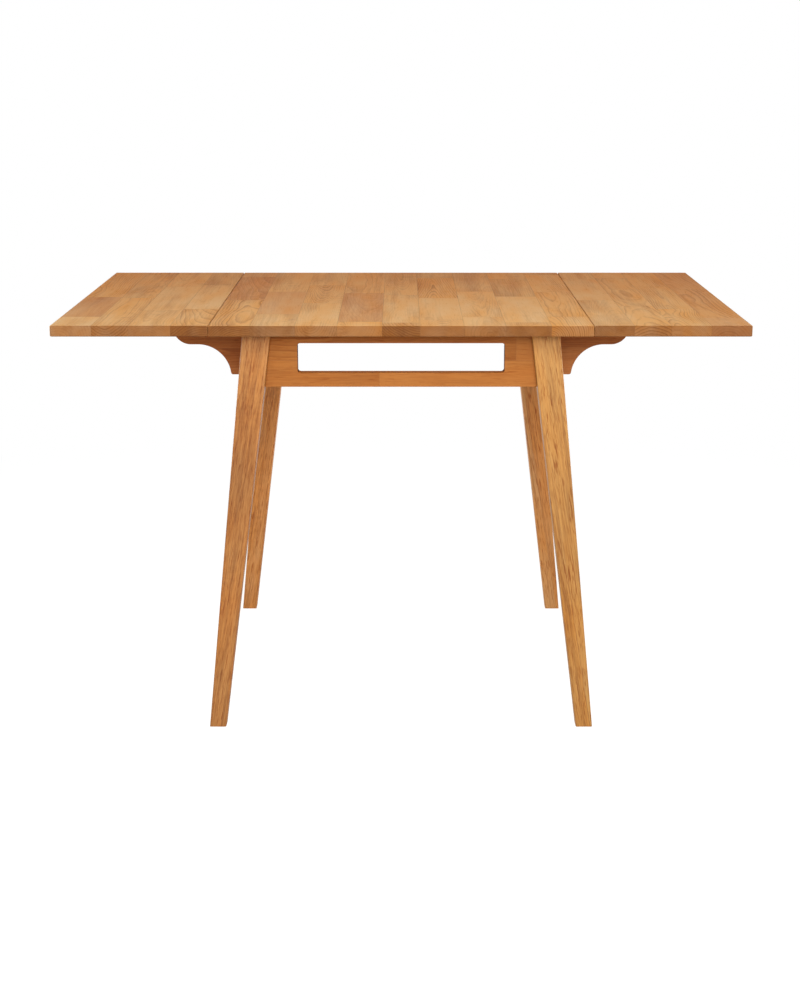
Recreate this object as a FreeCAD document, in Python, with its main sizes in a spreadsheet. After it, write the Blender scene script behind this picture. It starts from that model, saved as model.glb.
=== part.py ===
import FreeCAD, Part
import math
import os
import Sketcher

# Drop-leaf table whose leaves rest on four swing-out wings, with the leaves up and the wings out.
# Frame: millimetres, +Z up, +X along the length, +Y to the back.
# Origin: on the floor, under the middle of the top.
# Everything that repeats in the four corners is modelled once in the +X +Y corner and mirrored.

doc = FreeCAD.newDocument("folding_table")

# ---------------------------------------------------------------- driving sizes

SIZES = {
    # the top
    "table_length": 1220,
    "table_depth": 760,
    "table_height": 742,
    "top_thickness": 19,
    "leaf_length": 274,
    "seam_gap": 1.2,
    "top_corner_radius": 4,
    "top_edge_ease": 1.2,
    # how far the centre board reaches past the legs at the seams and at the sides
    "end_overhang": 55.8,
    "side_overhang": 35,
    # the legs
    "leg_top_width": 50,
    "leg_foot_width": 30,
    "leg_splay_long": 72,
    "leg_splay_deep": 28.5,
    "leg_edge_radius": 2.5,
    # the aprons
    "apron_height": 97,
    "apron_thickness": 22,
    "apron_setback": 12,
    "slot_end_gap": 3,
    "slot_height": 53,
    "slot_drop": 19,
    "slot_corner_radius": 5,
    # corner blocks and hanger bolts
    "block_reach": 59,
    "block_thickness": 15,
    "block_height": 60,
    "block_drop": 18,
    "bolt_radius": 4,
    "bolt_length": 69,
    "bolt_tail": 5,
    "washer_radius": 8,
    "washer_thickness": 1.6,
    "nut_radius": 7.5,
    "nut_height": 6.5,
    # cleats under the top
    "cleat_width": 22,
    "cleat_height": 18,
    "cleat_end_gap": 6,
    "cleat_screw_inset": 30,
    # the wings
    "wing_length": 149.7,
    "wing_height": 95.3,
    "wing_thickness": 20,
    "wing_leg_gap": 80,
    "wing_tip_height": 6.7,
    "wing_nose_radius": 33,
    "wing_cove_radius": 60,
    "wing_cove_start": 44.4,
    "wing_toe_radius": 4,
    # wing hinges
    "wing_hinge_height": 64,
    "wing_hinge_width": 22,
    "wing_hinge_plate": 1.6,
    "wing_hinge_knuckle": 3.2,
    "wing_hinge_screw_pitch": 38,
    "wing_hinge_screw_inset": 9,
    # leaf hinges
    "leaf_hinge_height": 44,
    "leaf_hinge_width": 30,
    "leaf_hinge_plate": 1.8,
    "leaf_hinge_knuckle": 3.2,
    "leaf_hinge_screw_pitch": 26,
    "leaf_hinge_screw_inset": 11,
    "leaf_hinge_end_inset": 75,
    # pins and screws
    "hinge_pin_radius": 1.5,
    "hinge_screw_radius": 1.6,
    "hinge_screw_head": 3.2,
    "hinge_screw_length": 14,
    "block_screw_radius": 2,
    "block_screw_head": 3.8,
    "block_screw_length": 20,
    "block_screw_seat": 5,
    "block_screw_rise": 15,
    "top_screw_radius": 2,
    "top_screw_head": 3.8,
    "top_screw_length": 31,
    "screw_head_height": 2.2,
    # clearances
    "face_gap": 0.3,
    "pin_clearance": 0.05,
    "knuckle_gap": 0.2,
    "screw_clearance": 0.05,
}

sheet = doc.addObject("Spreadsheet::Sheet", "Sizes")
for row, (alias, size) in enumerate(SIZES.items(), start=1):
    sheet.set(f"A{row}", alias)
    sheet.set(f"B{row}", str(size))
    sheet.setAlias(f"B{row}", alias)
doc.recompute()


def cell(alias):
    return f"Sizes.{alias}"


# ---------------------------------------------------------------- derived levels and planes

underside = "(Sizes.table_height - Sizes.top_thickness)"
seam_x = "(Sizes.table_length / 2 - Sizes.leaf_length - Sizes.seam_gap / 2)"
centre_length = f"(2 * {seam_x} - Sizes.seam_gap)"

# outer faces of the legs under the top, their middles there, and how far they lean down to the foot
frame_end_x = f"({centre_length} / 2 - Sizes.end_overhang)"
frame_side_y = "(Sizes.table_depth / 2 - Sizes.side_overhang)"
leg_taper = "(Sizes.leg_top_width - Sizes.leg_foot_width)"
leg_top_x = f"({frame_end_x} - Sizes.leg_top_width / 2)"
leg_top_y = f"({frame_side_y} - Sizes.leg_top_width / 2)"
leg_lean_x = f"(Sizes.leg_splay_long + {leg_taper} / 2)"
leg_lean_y = f"(Sizes.leg_splay_deep + {leg_taper} / 2)"

apron_face_y = f"({frame_side_y} - Sizes.apron_setback)"
apron_back_y = f"({apron_face_y} - Sizes.apron_thickness)"
end_face_x = f"({frame_end_x} - Sizes.apron_setback)"
end_back_x = f"({end_face_x} - Sizes.apron_thickness)"
apron_bottom = f"({underside} - Sizes.apron_height)"

wing_top = f"({underside} - Sizes.face_gap)"
wing_outer_y = f"({frame_side_y} - Sizes.leg_top_width - Sizes.wing_leg_gap)"
wing_inner_y = f"({wing_outer_y} - Sizes.wing_thickness)"
wing_offset = "(Sizes.wing_hinge_knuckle + Sizes.knuckle_gap)"
wing_axis_x = f"({end_face_x} + {wing_offset})"
wing_axis_y = f"({wing_inner_y} - {wing_offset})"
wing_axis_z = f"({wing_top} - Sizes.wing_height / 2)"

leaf_offset = "(Sizes.leaf_hinge_knuckle + Sizes.knuckle_gap)"
leaf_axis_z = f"({underside} - {leaf_offset})"

X_AXIS = FreeCAD.Vector(1, 0, 0)
Y_AXIS = FreeCAD.Vector(0, 1, 0)
Z_AXIS = FreeCAD.Vector(0, 0, 1)

# Small round parts have flat sides, which keeps the sixty screws and ten hinges light.
ROUND_SIDES = 8


# ---------------------------------------------------------------- helpers

def value(expression):
    """Present value of an expression over the sheet, for a first guess of a sketch."""
    return float(sheet.evalExpression(expression))


def bind(obj, **expressions):
    """Bind properties to expressions; a double underscore stands for a dot."""
    for path, expression in expressions.items():
        obj.setExpression(path.replace("__", "."), expression)
    return obj


def place(obj, x="0", y="0", z="0", turn=None):
    """Give an object its place, with a fixed turn and coordinates bound to the sheet."""
    if turn is not None:
        obj.Placement = FreeCAD.Placement(FreeCAD.Vector(), turn)
    return bind(obj, Placement__Base__x=x, Placement__Base__y=y, Placement__Base__z=z)


def frame_turn(x_to, y_to, z_to):
    """Turn that carries the X, Y and Z axes to three given directions."""
    return FreeCAD.Rotation(FreeCAD.Vector(*x_to), FreeCAD.Vector(*y_to), FreeCAD.Vector(*z_to), "ZXY")


def new_body(name):
    return doc.addObject("PartDesign::Body", name)


def new_sketch(body, name, plane, x=None, y=None, z=None):
    """Sketch on one of the body's own origin planes, moved by bound offsets."""
    sketch = body.newObject("Sketcher::SketchObject", name)
    support = [f for f in body.Origin.OriginFeatures if f.Role == plane][0]
    sketch.AttachmentSupport = [(support, "")]
    sketch.MapMode = "FlatFace"
    for axis, expression in (("x", x), ("y", y), ("z", z)):
        if expression is not None:
            sketch.setExpression(f"AttachmentOffset.Base.{axis}", expression)
    return sketch


def dimension(sketch, name, expression, kind, *where):
    """Named sketch dimension bound to an expression."""
    index = sketch.addConstraint(Sketcher.Constraint(kind, *where, value(expression)))
    sketch.renameConstraint(index, name)
    sketch.setExpression(f"Constraints.{name}", expression)


def closed_outline(sketch, points):
    """Closed outline of straight lines, each joined to the next; returns the first line's index."""
    first = sketch.GeometryCount
    count = len(points)
    for number, point in enumerate(points):
        after = points[(number + 1) % count]
        start = FreeCAD.Vector(point[0], point[1], 0)
        end = FreeCAD.Vector(after[0], after[1], 0)
        sketch.addGeometry(Part.LineSegment(start, end))
    for number in range(count):
        following = first + (number + 1) % count
        sketch.addConstraint(Sketcher.Constraint("Coincident", first + number, 2, following, 1))
    return first


def rectangle(sketch, width, height):
    """Upright rectangle centred on the sketch's origin."""
    half_w = value(width) / 2
    half_h = value(height) / 2
    first = closed_outline(sketch, [(-half_w, -half_h), (half_w, -half_h),
                                    (half_w, half_h), (-half_w, half_h)])
    bottom, right, top = first, first + 1, first + 2
    sketch.addConstraint(Sketcher.Constraint("Vertical", right))
    sketch.addConstraint(Sketcher.Constraint("Symmetric", bottom, 1, bottom, 2, -2))
    sketch.addConstraint(Sketcher.Constraint("Symmetric", top, 1, top, 2, -2))
    dimension(sketch, "width", width, "DistanceX", bottom, 1, bottom, 2)
    dimension(sketch, "height", height, "DistanceY", right, 1, right, 2)
    dimension(sketch, "sill", f"{height} / 2", "DistanceY", bottom, 1, -1, 1)


def rounded_rectangle(sketch, width, height, radius):
    """Upright rectangle with round corners, centred on the sketch's origin."""
    half_w = value(width) / 2
    half_h = value(height) / 2
    turn_radius = value(radius)
    inner_w = half_w - turn_radius
    inner_h = half_h - turn_radius
    straights = (((-inner_w, -half_h), (inner_w, -half_h)), ((half_w, -inner_h), (half_w, inner_h)),
                 ((inner_w, half_h), (-inner_w, half_h)), ((-half_w, inner_h), (-half_w, -inner_h)))
    corners = ((inner_w, -inner_h), (inner_w, inner_h), (-inner_w, inner_h), (-inner_w, -inner_h))
    lines = []
    arcs = []
    for number in range(4):
        start, end = (FreeCAD.Vector(*point, 0) for point in straights[number])
        lines.append(sketch.addGeometry(Part.LineSegment(start, end)))
        circle = Part.Circle(FreeCAD.Vector(*corners[number], 0), FreeCAD.Vector(0, 0, 1), turn_radius)
        begin = math.radians(90 * number - 90)
        arcs.append(sketch.addGeometry(Part.ArcOfCircle(circle, begin, begin + math.pi / 2)))
    for number in range(4):
        following = lines[(number + 1) % 4]
        sketch.addConstraint(Sketcher.Constraint("Tangent", lines[number], 2, arcs[number], 1))
        sketch.addConstraint(Sketcher.Constraint("Tangent", arcs[number], 2, following, 1))
        upright = "Vertical" if number % 2 else "Horizontal"
        sketch.addConstraint(Sketcher.Constraint(upright, lines[number]))
    for arc in arcs[1:]:
        sketch.addConstraint(Sketcher.Constraint("Equal", arcs[0], arc))
    dimension(sketch, "corner", radius, "Radius", arcs[0])
    bottom, right, top, left = lines
    dimension(sketch, "half_low", f"{height} / 2", "DistanceY", bottom, 1, -1, 1)
    dimension(sketch, "half_right", f"{width} / 2", "DistanceX", -1, 1, right, 1)
    dimension(sketch, "half_high", f"{height} / 2", "DistanceY", -1, 1, top, 1)
    dimension(sketch, "half_left", f"{width} / 2", "DistanceX", left, 1, -1, 1)


def pad(body, sketch, length):
    feature = body.newObject("PartDesign::Pad", f"{body.Name}_pad")
    feature.Profile = sketch
    bind(feature, Length=length)
    sketch.Visibility = False
    doc.recompute()
    return feature


def edges_where(feature, test):
    """Names of the edges of a feature that pass a test."""
    edges = feature.Shape.Edges
    return [f"Edge{i}" for i, edge in enumerate(edges, start=1) if test(edge)]


def runs_along(edge, direction):
    """True for a straight edge parallel to a direction."""
    if edge.Curve.TypeId != "Part::GeomLine":
        return False
    start = edge.Vertexes[0].Point
    end = edge.Vertexes[-1].Point
    return (end - start).normalize().cross(direction).Length < 1e-6


def dress(body, kind, feature, edges, **expressions):
    """Fillet or chamfer on chosen edges of a feature."""
    dressing = body.newObject(f"PartDesign::{kind}", f"{body.Name}_{kind.lower()}")
    dressing.Base = (feature, edges)
    bind(dressing, **expressions)
    doc.recompute()
    return dressing


def rod(name, radius, height, sides=ROUND_SIDES):
    """Straight bar with flat sides; the radius is to its corners."""
    solid = doc.addObject("Part::Prism", name)
    solid.Polygon = sides
    return bind(solid, Circumradius=radius, Height=height)


def box(name, length, width, height):
    solid = doc.addObject("Part::Box", name)
    return bind(solid, Length=length, Width=width, Height=height)


def fuse(name, solids):
    union = doc.addObject("Part::MultiFuse", name)
    union.Shapes = solids
    return union


def cut(name, base, tool):
    remainder = doc.addObject("Part::Cut", name)
    remainder.Base = base
    remainder.Tool = tool
    return remainder


def group(name, members):
    """Several separate solids kept together."""
    compound = doc.addObject("Part::Compound", name)
    compound.Links = members
    return compound


def copy_at(name, source, x="0", y="0", z="0", turn=None):
    """Copy of an object at another place."""
    return place(group(name, [source]), x, y, z, turn)


def mirror(name, source, normal):
    """Mirror image in a plane through the origin."""
    image = doc.addObject("Part::Mirroring", name)
    image.Source = source
    image.Normal = normal
    return image


def both_ends(name, right):
    """A group of one thing at the right end and its mirror image at the left end."""
    return group(name, [right, mirror(f"{name}_image", right, X_AXIS)])


def both_sides(name, back):
    """A group of one thing at the back and its mirror image at the front."""
    return group(name, [back, mirror(f"{name}_reflection", back, Y_AXIS)])


def four_corners(name, corner):
    """A group of one thing in the +X +Y corner and its images in the other three."""
    return both_ends(name, both_sides(f"{name}_pair", corner))


nodes = {}


def node(name, obj):
    """Name a finished piece."""
    obj.Label = name
    nodes[name] = obj
    return obj


def corner_nodes(stem, corner):
    """One piece in each corner: the modelled one, and its three mirror images."""
    node(f"{stem}_back_right", corner)
    front = node(f"{stem}_front_right", mirror(f"{stem}_fr", corner, Y_AXIS))
    node(f"{stem}_back_left", mirror(f"{stem}_bl", corner, X_AXIS))
    node(f"{stem}_front_left", mirror(f"{stem}_fl", front, X_AXIS))


# ---------------------------------------------------------------- screws and their holes

def screw(name, shank, head, length, head_height, clearance="0"):
    """Countersunk wood screw pointing up: the head's face at the origin, the tip at its length.

    A head that tapers between flat sides is none of the ready primitives, so its faces are set here.
    """
    spare = value(clearance)
    rings = ((value(head) + spare, 0), (value(shank) + spare, value(head_height)),
             (value(shank) + spare, value(length) + spare))
    corners = []
    for radius, level in rings:
        turns = [2 * math.pi * side / ROUND_SIDES for side in range(ROUND_SIDES)]
        corners.append([FreeCAD.Vector(radius * math.cos(a), radius * math.sin(a), level) for a in turns])
    outlines = [corners[0], corners[-1]]
    for low, high in zip(corners, corners[1:]):
        for side in range(ROUND_SIDES):
            after = (side + 1) % ROUND_SIDES
            outlines.append([low[side], low[after], high[after], high[side]])
    faces = [Part.Face(Part.makePolygon(outline + outline[:1])) for outline in outlines]
    solid = doc.addObject("Part::Feature", name)
    solid.Shape = Part.Solid(Part.Shell(faces))
    return solid


def screw_and_cutter(name, shank, head, length, head_height):
    """A screw, and the slightly larger form that drills its hole."""
    return (screw(name, shank, head, length, head_height),
            screw(f"{name}_drill", shank, head, length, head_height, cell("screw_clearance")))


# ---------------------------------------------------------------- hinges

def knuckle_hinge(name, knuckle_count):
    """Butt hinge about its own Z axis; the fixed plate has the first, the last and every other knuckle.

    Each plate spreads along +X with its wood side at -Y, as it lies when it is on its own;
    the caller turns the two plates to where they are screwed down.
    Returns the fixed plate, the moving plate, the pin, a pair of screws and their drills.
    """
    height = cell(f"{name}_height")
    width = cell(f"{name}_width")
    thickness = cell(f"{name}_plate")
    knuckle = cell(f"{name}_knuckle")
    pitch = cell(f"{name}_screw_pitch")
    inset = cell(f"{name}_screw_inset")
    gap = cell("knuckle_gap")
    offset = f"({knuckle} + {gap})"
    step = f"({height} / {knuckle_count})"
    bore_radius = f"((Sizes.hinge_pin_radius + Sizes.pin_clearance) / cos(180 / {ROUND_SIDES}))"

    screw_solid, drill = screw_and_cutter(f"{name}_screw", cell("hinge_screw_radius"),
                                          cell("hinge_screw_head"), cell("hinge_screw_length"), thickness)
    into_wood = frame_turn((1, 0, 0), (0, 0, 1), (0, -1, 0))
    screws = []
    drills = []
    for side in (-1, 1):
        spot = {"x": f"{width} - {inset}", "y": f"{thickness} - {offset}", "z": f"{side} * {pitch} / 2"}
        screws.append(copy_at(f"{name}_screw_{side + 1}", screw_solid, turn=into_wood, **spot))
        drills.append(copy_at(f"{name}_drill_{side + 1}", drill, turn=into_wood, **spot))
    screw_pair = group(f"{name}_screws", screws)
    drill_pair = group(f"{name}_drills", drills)

    def plate(role, own_knuckles):
        leaf = box(f"{name}_{role}_leaf", width, thickness, height)
        place(leaf, y=f"-{offset}", z=f"-{height} / 2")
        solids = [leaf]
        notches = []
        for number in range(knuckle_count):
            low = f"{number} * {step} - {height} / 2"
            if number in own_knuckles:
                barrel = rod(f"{name}_{role}_barrel_{number}", knuckle, f"{step} - {gap}")
                solids.append(place(barrel, z=f"{low} + {gap} / 2"))
            else:
                notch = box(f"{name}_{role}_notch_{number}", f"2 * {offset} + {gap}",
                            f"2 * {offset} + {gap}", f"{step} + {gap}")
                notches.append(place(notch, x=f"-{offset}", y=f"-{offset} - {gap} / 2",
                                     z=f"{low} - {gap} / 2"))
        bore = rod(f"{name}_{role}_bore", bore_radius, f"2 * {height}")
        place(bore, z=f"-{height}")
        waste = group(f"{name}_{role}_waste", notches)
        blank = cut(f"{name}_{role}_blank", fuse(f"{name}_{role}_solid", solids), waste)
        bored = cut(f"{name}_{role}_bored", blank, bore)
        return cut(f"{name}_{role}_plate", bored, drill_pair)

    fixed = plate("fixed", range(0, knuckle_count, 2))
    moving = plate("moving", range(1, knuckle_count, 2))
    pin = place(rod(f"{name}_pin", cell("hinge_pin_radius"), height), z=f"-{height} / 2")
    return fixed, moving, pin, screw_pair, drill_pair


# ---------------------------------------------------------------- the top

def board(name, length):
    """Flat board centred on its own origin, underside at the underside of the top."""
    body = new_body(name)
    sketch = new_sketch(body, f"{name}_outline", "XY_Plane", z=underside)
    rectangle(sketch, length, cell("table_depth"))
    slab = pad(body, sketch, cell("top_thickness"))
    upright = edges_where(slab, lambda edge: runs_along(edge, Z_AXIS))
    return body, slab, upright


def ease_board(body, feature):
    """Small chamfer round the upper and the lower face."""
    rim = edges_where(feature, lambda edge: abs(edge.BoundBox.ZLength) < 1e-6)
    return dress(body, "Chamfer", feature, rim, Size=cell("top_edge_ease"))


def make_top(drills_centre, drills_leaf):
    """Centre board and two leaves, drilled from below."""
    centre, slab, upright = board("centre_board", centre_length)
    ease_board(centre, slab)
    node("centre_top", cut("centre_top_drilled", centre, drills_centre))

    leaf, slab, upright = board("leaf_board", cell("leaf_length"))
    outer = [name for name in upright if slab.getSubObject(name).BoundBox.XMin > 0]
    rounded = dress(leaf, "Fillet", slab, outer, Radius=cell("top_corner_radius"))
    ease_board(leaf, rounded)
    place(leaf, x=f"{seam_x} + Sizes.seam_gap / 2 + Sizes.leaf_length / 2")
    right = node("leaf_right", cut("leaf_right_drilled", leaf, drills_leaf))
    node("leaf_left", mirror("leaf_left_image", right, X_AXIS))


# ---------------------------------------------------------------- legs

def make_legs(bolt_drill):
    """Square legs that taper to the foot and lean out to both sides, cut level at both ends."""
    body = new_body("leg")
    wedge = body.newObject("PartDesign::AdditiveWedge", "leg_wedge")
    wedge.Placement = FreeCAD.Placement(FreeCAD.Vector(), FreeCAD.Rotation(X_AXIS, 90))
    half_foot = "Sizes.leg_foot_width / 2"
    half_top = "Sizes.leg_top_width / 2"
    bind(wedge, Xmin=f"-{half_foot}", Xmax=half_foot, Zmin=f"-{half_foot}", Zmax=half_foot,
         X2min=f"-{leg_lean_x} - {half_top}", X2max=f"-{leg_lean_x} + {half_top}",
         Z2min=f"{leg_lean_y} - {half_top}", Z2max=f"{leg_lean_y} + {half_top}",
         Ymin="0", Ymax=underside)
    doc.recompute()
    arrises = edges_where(wedge, lambda edge: edge.BoundBox.ZLength > value(underside) / 2)
    dress(body, "Fillet", wedge, arrises, Radius=cell("leg_edge_radius"))
    place(body, x=f"{leg_top_x} + {leg_lean_x}", y=f"{leg_top_y} + {leg_lean_y}")
    corner_nodes("leg", cut("leg_drilled", body, bolt_drill))


# ---------------------------------------------------------------- aprons

def apron_outline(sketch, half_span, lean):
    """Board with its ends cut to the lean of the legs, wider along the bottom."""
    top = value(underside)
    bottom = value(apron_bottom)
    span = value(half_span)
    spread = value(f"{lean} * Sizes.apron_height / {underside}")
    first = closed_outline(sketch, [(-span - spread, bottom), (span + spread, bottom),
                                    (span, top), (-span, top)])
    low, high = first, first + 2
    sketch.addConstraint(Sketcher.Constraint("Symmetric", low, 1, low, 2, -2))
    sketch.addConstraint(Sketcher.Constraint("Symmetric", high, 1, high, 2, -2))
    low_length = f"2 * ({half_span} + {lean} * Sizes.apron_height / {underside})"
    dimension(sketch, "low_length", low_length, "DistanceX", low, 1, low, 2)
    dimension(sketch, "high_length", f"2 * {half_span}", "DistanceX", high, 2, high, 1)
    dimension(sketch, "bottom_height", apron_bottom, "DistanceY", -1, 1, low, 1)
    dimension(sketch, "depth", cell("apron_height"), "DistanceY", low, 1, high, 1)


def make_aprons(block_drills, hinge_drills):
    """Slotted front and back aprons, and plain end aprons that carry the wings."""
    inner_x = f"({frame_end_x} - Sizes.leg_top_width)"
    inner_y = f"({frame_side_y} - Sizes.leg_top_width)"
    slot_length = f"(2 * ({end_back_x} - Sizes.block_reach - Sizes.slot_end_gap))"

    body = new_body("apron")
    sketch = new_sketch(body, "apron_outline", "XZ_Plane", z=f"-{apron_face_y}")
    apron_outline(sketch, inner_x, f"(Sizes.leg_splay_long + {leg_taper})")
    plank = pad(body, sketch, cell("apron_thickness"))

    slot_middle = f"({underside} - Sizes.slot_drop - Sizes.slot_height / 2)"
    slot = new_sketch(body, "apron_slot", "XZ_Plane", y=slot_middle, z=f"-{apron_face_y}")
    rounded_rectangle(slot, slot_length, cell("slot_height"), cell("slot_corner_radius"))
    pocket = body.newObject("PartDesign::Pocket", "apron_pocket")
    pocket.Profile = slot
    pocket.Type = "ThroughAll"
    pocket.Midplane = True
    slot.Visibility = False
    doc.recompute()
    slot_volume = value(f"{slot_length} * Sizes.slot_height * Sizes.apron_thickness")
    if plank.Shape.Volume - pocket.Shape.Volume < 0.9 * slot_volume:
        raise RuntimeError("the slot does not cut through the apron")
    back = node("apron_back", cut("apron_back_drilled", body, both_ends("apron_drills", block_drills)))
    node("apron_front", mirror("apron_front_image", back, Y_AXIS))

    end_body = new_body("end_apron")
    end_sketch = new_sketch(end_body, "end_apron_outline", "YZ_Plane", z=end_back_x)
    apron_outline(end_sketch, inner_y, f"(Sizes.leg_splay_deep + {leg_taper})")
    pad(end_body, end_sketch, cell("apron_thickness"))
    drills = group("end_apron_drills", [both_sides("end_block_drills", block_drills),
                                        both_sides("end_hinge_drills", hinge_drills)])
    right = node("end_apron_right", cut("end_apron_right_drilled", end_body, drills))
    node("end_apron_left", mirror("end_apron_left_image", right, X_AXIS))


# ---------------------------------------------------------------- corner blocks and bolts

block_width = "(Sizes.block_thickness * sqrt(2))"
block_middle_z = f"({underside} - Sizes.block_drop - Sizes.block_height / 2)"
leg_share = f"(({underside} - {block_middle_z}) / {underside})"
bolt_x = f"({leg_top_x} + {leg_lean_x} * {leg_share})"
bolt_y = f"({leg_top_y} + {leg_lean_y} * {leg_share})"
block_face = (f"(({bolt_x} + {bolt_y} - {end_back_x} - {apron_back_y} + Sizes.block_reach)"
              " / sqrt(2))")
INWARD = FreeCAD.Rotation(Z_AXIS, FreeCAD.Vector(-1, -1, 0))


def along_bolt(distance):
    """Place on the bolt's axis at a distance from the leg's middle, towards the table's middle."""
    return {"x": f"{bolt_x} - {distance} / sqrt(2)",
            "y": f"{bolt_y} - {distance} / sqrt(2)",
            "z": block_middle_z,
            "turn": INWARD}


def make_bolts():
    """Hanger bolt, washer and nut of one corner, and the drill for the bolt."""
    outer_end = f"({block_face} + Sizes.washer_thickness + Sizes.nut_height + Sizes.bolt_tail)"
    start = f"({outer_end} - Sizes.bolt_length)"
    bolt = place(rod("hanger_bolt", cell("bolt_radius"), cell("bolt_length")), **along_bolt(start))
    hole_radius = "Sizes.bolt_radius + Sizes.screw_clearance"
    drill = place(rod("bolt_drill", hole_radius, cell("bolt_length")), **along_bolt(start))

    washer = rod("washer_disc", cell("washer_radius"), cell("washer_thickness"))
    place(washer, **along_bolt(block_face))
    washer_bored = cut("washer", washer, drill)

    nut = rod("nut_blank", cell("nut_radius"), cell("nut_height"), sides=6)
    place(nut, **along_bolt(f"({block_face} + Sizes.washer_thickness)"))
    nut_bored = cut("nut", nut, drill)

    node("hanger_bolts", four_corners("hanger_bolt_set", bolt))
    node("bolt_washers", four_corners("washer_set", washer_bored))
    node("bolt_nuts", four_corners("nut_set", nut_bored))
    return drill


def make_blocks(bolt_drill):
    """Corner block across each corner, screwed to both aprons; returns the drills for its screws."""
    body = new_body("block")
    sketch = new_sketch(body, "block_outline", "XY_Plane")
    reach = value("Sizes.block_reach")
    inner = reach - value(block_width)
    first = closed_outline(sketch, [(-reach, 0), (-inner, 0), (0, -inner), (0, -reach)])
    on_back, slant_out, on_end, slant_in = range(first, first + 4)
    sketch.addConstraint(Sketcher.Constraint("Horizontal", on_back))
    sketch.addConstraint(Sketcher.Constraint("Vertical", on_end))
    sketch.addConstraint(Sketcher.Constraint("Parallel", slant_out, slant_in))
    sketch.addConstraint(Sketcher.Constraint("PointOnObject", on_back, 1, -1))
    sketch.addConstraint(Sketcher.Constraint("PointOnObject", on_end, 1, -2))
    dimension(sketch, "reach_back", cell("block_reach"), "DistanceX", on_back, 1, -1, 1)
    dimension(sketch, "reach_end", cell("block_reach"), "DistanceY", on_end, 2, -1, 1)
    dimension(sketch, "width", block_width, "DistanceX", on_back, 1, on_back, 2)
    pad(body, sketch, cell("block_height"))
    place(body, end_back_x, apron_back_y, f"{block_middle_z} - Sizes.block_height / 2")

    seat = cell("block_screw_seat")
    middle = f"(Sizes.block_reach - {block_width} / 2)"
    level = f"{block_middle_z} + Sizes.block_screw_rise"
    solid, drill = screw_and_cutter("block_screw", cell("block_screw_radius"), cell("block_screw_head"),
                                    cell("block_screw_length"), cell("screw_head_height"))
    well = rod("block_screw_well", "Sizes.block_screw_head + Sizes.screw_clearance",
               cell("block_thickness"))
    place(well, z="-Sizes.block_thickness")
    drill_and_well = fuse("block_screw_bore", [drill, well])
    back_spot = {"x": f"{end_back_x} - {middle}", "y": f"{apron_back_y} - {seat}", "z": level,
                 "turn": FreeCAD.Rotation(Z_AXIS, Y_AXIS)}
    end_spot = {"x": f"{end_back_x} - {seat}", "y": f"{apron_back_y} - {middle}", "z": level,
                "turn": FreeCAD.Rotation(Z_AXIS, X_AXIS)}
    screws = group("block_screw_pair", [copy_at("block_screw_back", solid, **back_spot),
                                        copy_at("block_screw_end", solid, **end_spot)])
    bores = [copy_at("block_bore_back", drill_and_well, **back_spot),
             copy_at("block_bore_end", drill_and_well, **end_spot)]
    bored = cut("block_bored", body, group("block_bores", bores))
    corner_nodes("corner_block", cut("block_drilled", bored, bolt_drill))
    node("corner_block_screws", four_corners("block_screw_set", screws))
    return group("block_screw_drills", bores)


# ---------------------------------------------------------------- cleats

def make_cleats():
    """Square strips in the angle of aprons and top; returns the drills for their screws."""
    free_x = f"({end_back_x} - Sizes.block_reach - Sizes.cleat_end_gap)"
    free_y = f"({apron_back_y} - Sizes.block_reach - Sizes.cleat_end_gap)"
    bottom = f"({underside} - Sizes.cleat_height)"
    solid, drill = screw_and_cutter("cleat_screw", cell("top_screw_radius"), cell("top_screw_head"),
                                    cell("top_screw_length"), cell("screw_head_height"))

    long_y = f"({apron_back_y} - Sizes.cleat_width / 2)"
    end_x = f"({end_back_x} - Sizes.cleat_width / 2)"
    back_spots = [(f"{step} * ({free_x} - Sizes.cleat_screw_inset)", long_y) for step in (-1, 0, 1)]
    end_spots = [(end_x, f"{step} * ({free_y} - Sizes.cleat_screw_inset)") for step in (-1, 0, 1)]

    def at_spots(name, source, spots):
        copies = []
        for number, (x, y) in enumerate(spots):
            copies.append(copy_at(f"{name}_{number}", source, x, y, bottom))
        return group(name, copies)

    back_drills = at_spots("cleat_back_drills", drill, back_spots)
    end_drills = at_spots("cleat_end_drills", drill, end_spots)

    strip = box("cleat_back_strip", f"2 * {free_x}", cell("cleat_width"), cell("cleat_height"))
    place(strip, f"-{free_x}", f"{apron_back_y} - Sizes.cleat_width", bottom)
    back = node("cleat_back", cut("cleat_back_drilled", strip, back_drills))
    node("cleat_front", mirror("cleat_front_image", back, Y_AXIS))

    end_strip = box("cleat_end_strip", cell("cleat_width"), f"2 * {free_y}", cell("cleat_height"))
    place(end_strip, f"{end_back_x} - Sizes.cleat_width", f"-{free_y}", bottom)
    right = node("cleat_right", cut("cleat_right_drilled", end_strip, end_drills))
    node("cleat_left", mirror("cleat_left_image", right, X_AXIS))

    screws = [both_sides("cleat_long_screws", at_spots("cleat_back_screws", solid, back_spots)),
              both_ends("cleat_deep_screws", at_spots("cleat_end_screws", solid, end_spots))]
    node("top_screws", group("top_screw_set", screws))
    return group("top_screw_drills", [both_sides("cleat_long_drills", back_drills),
                                      both_ends("cleat_deep_drills", end_drills)])


# ---------------------------------------------------------------- wings

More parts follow.
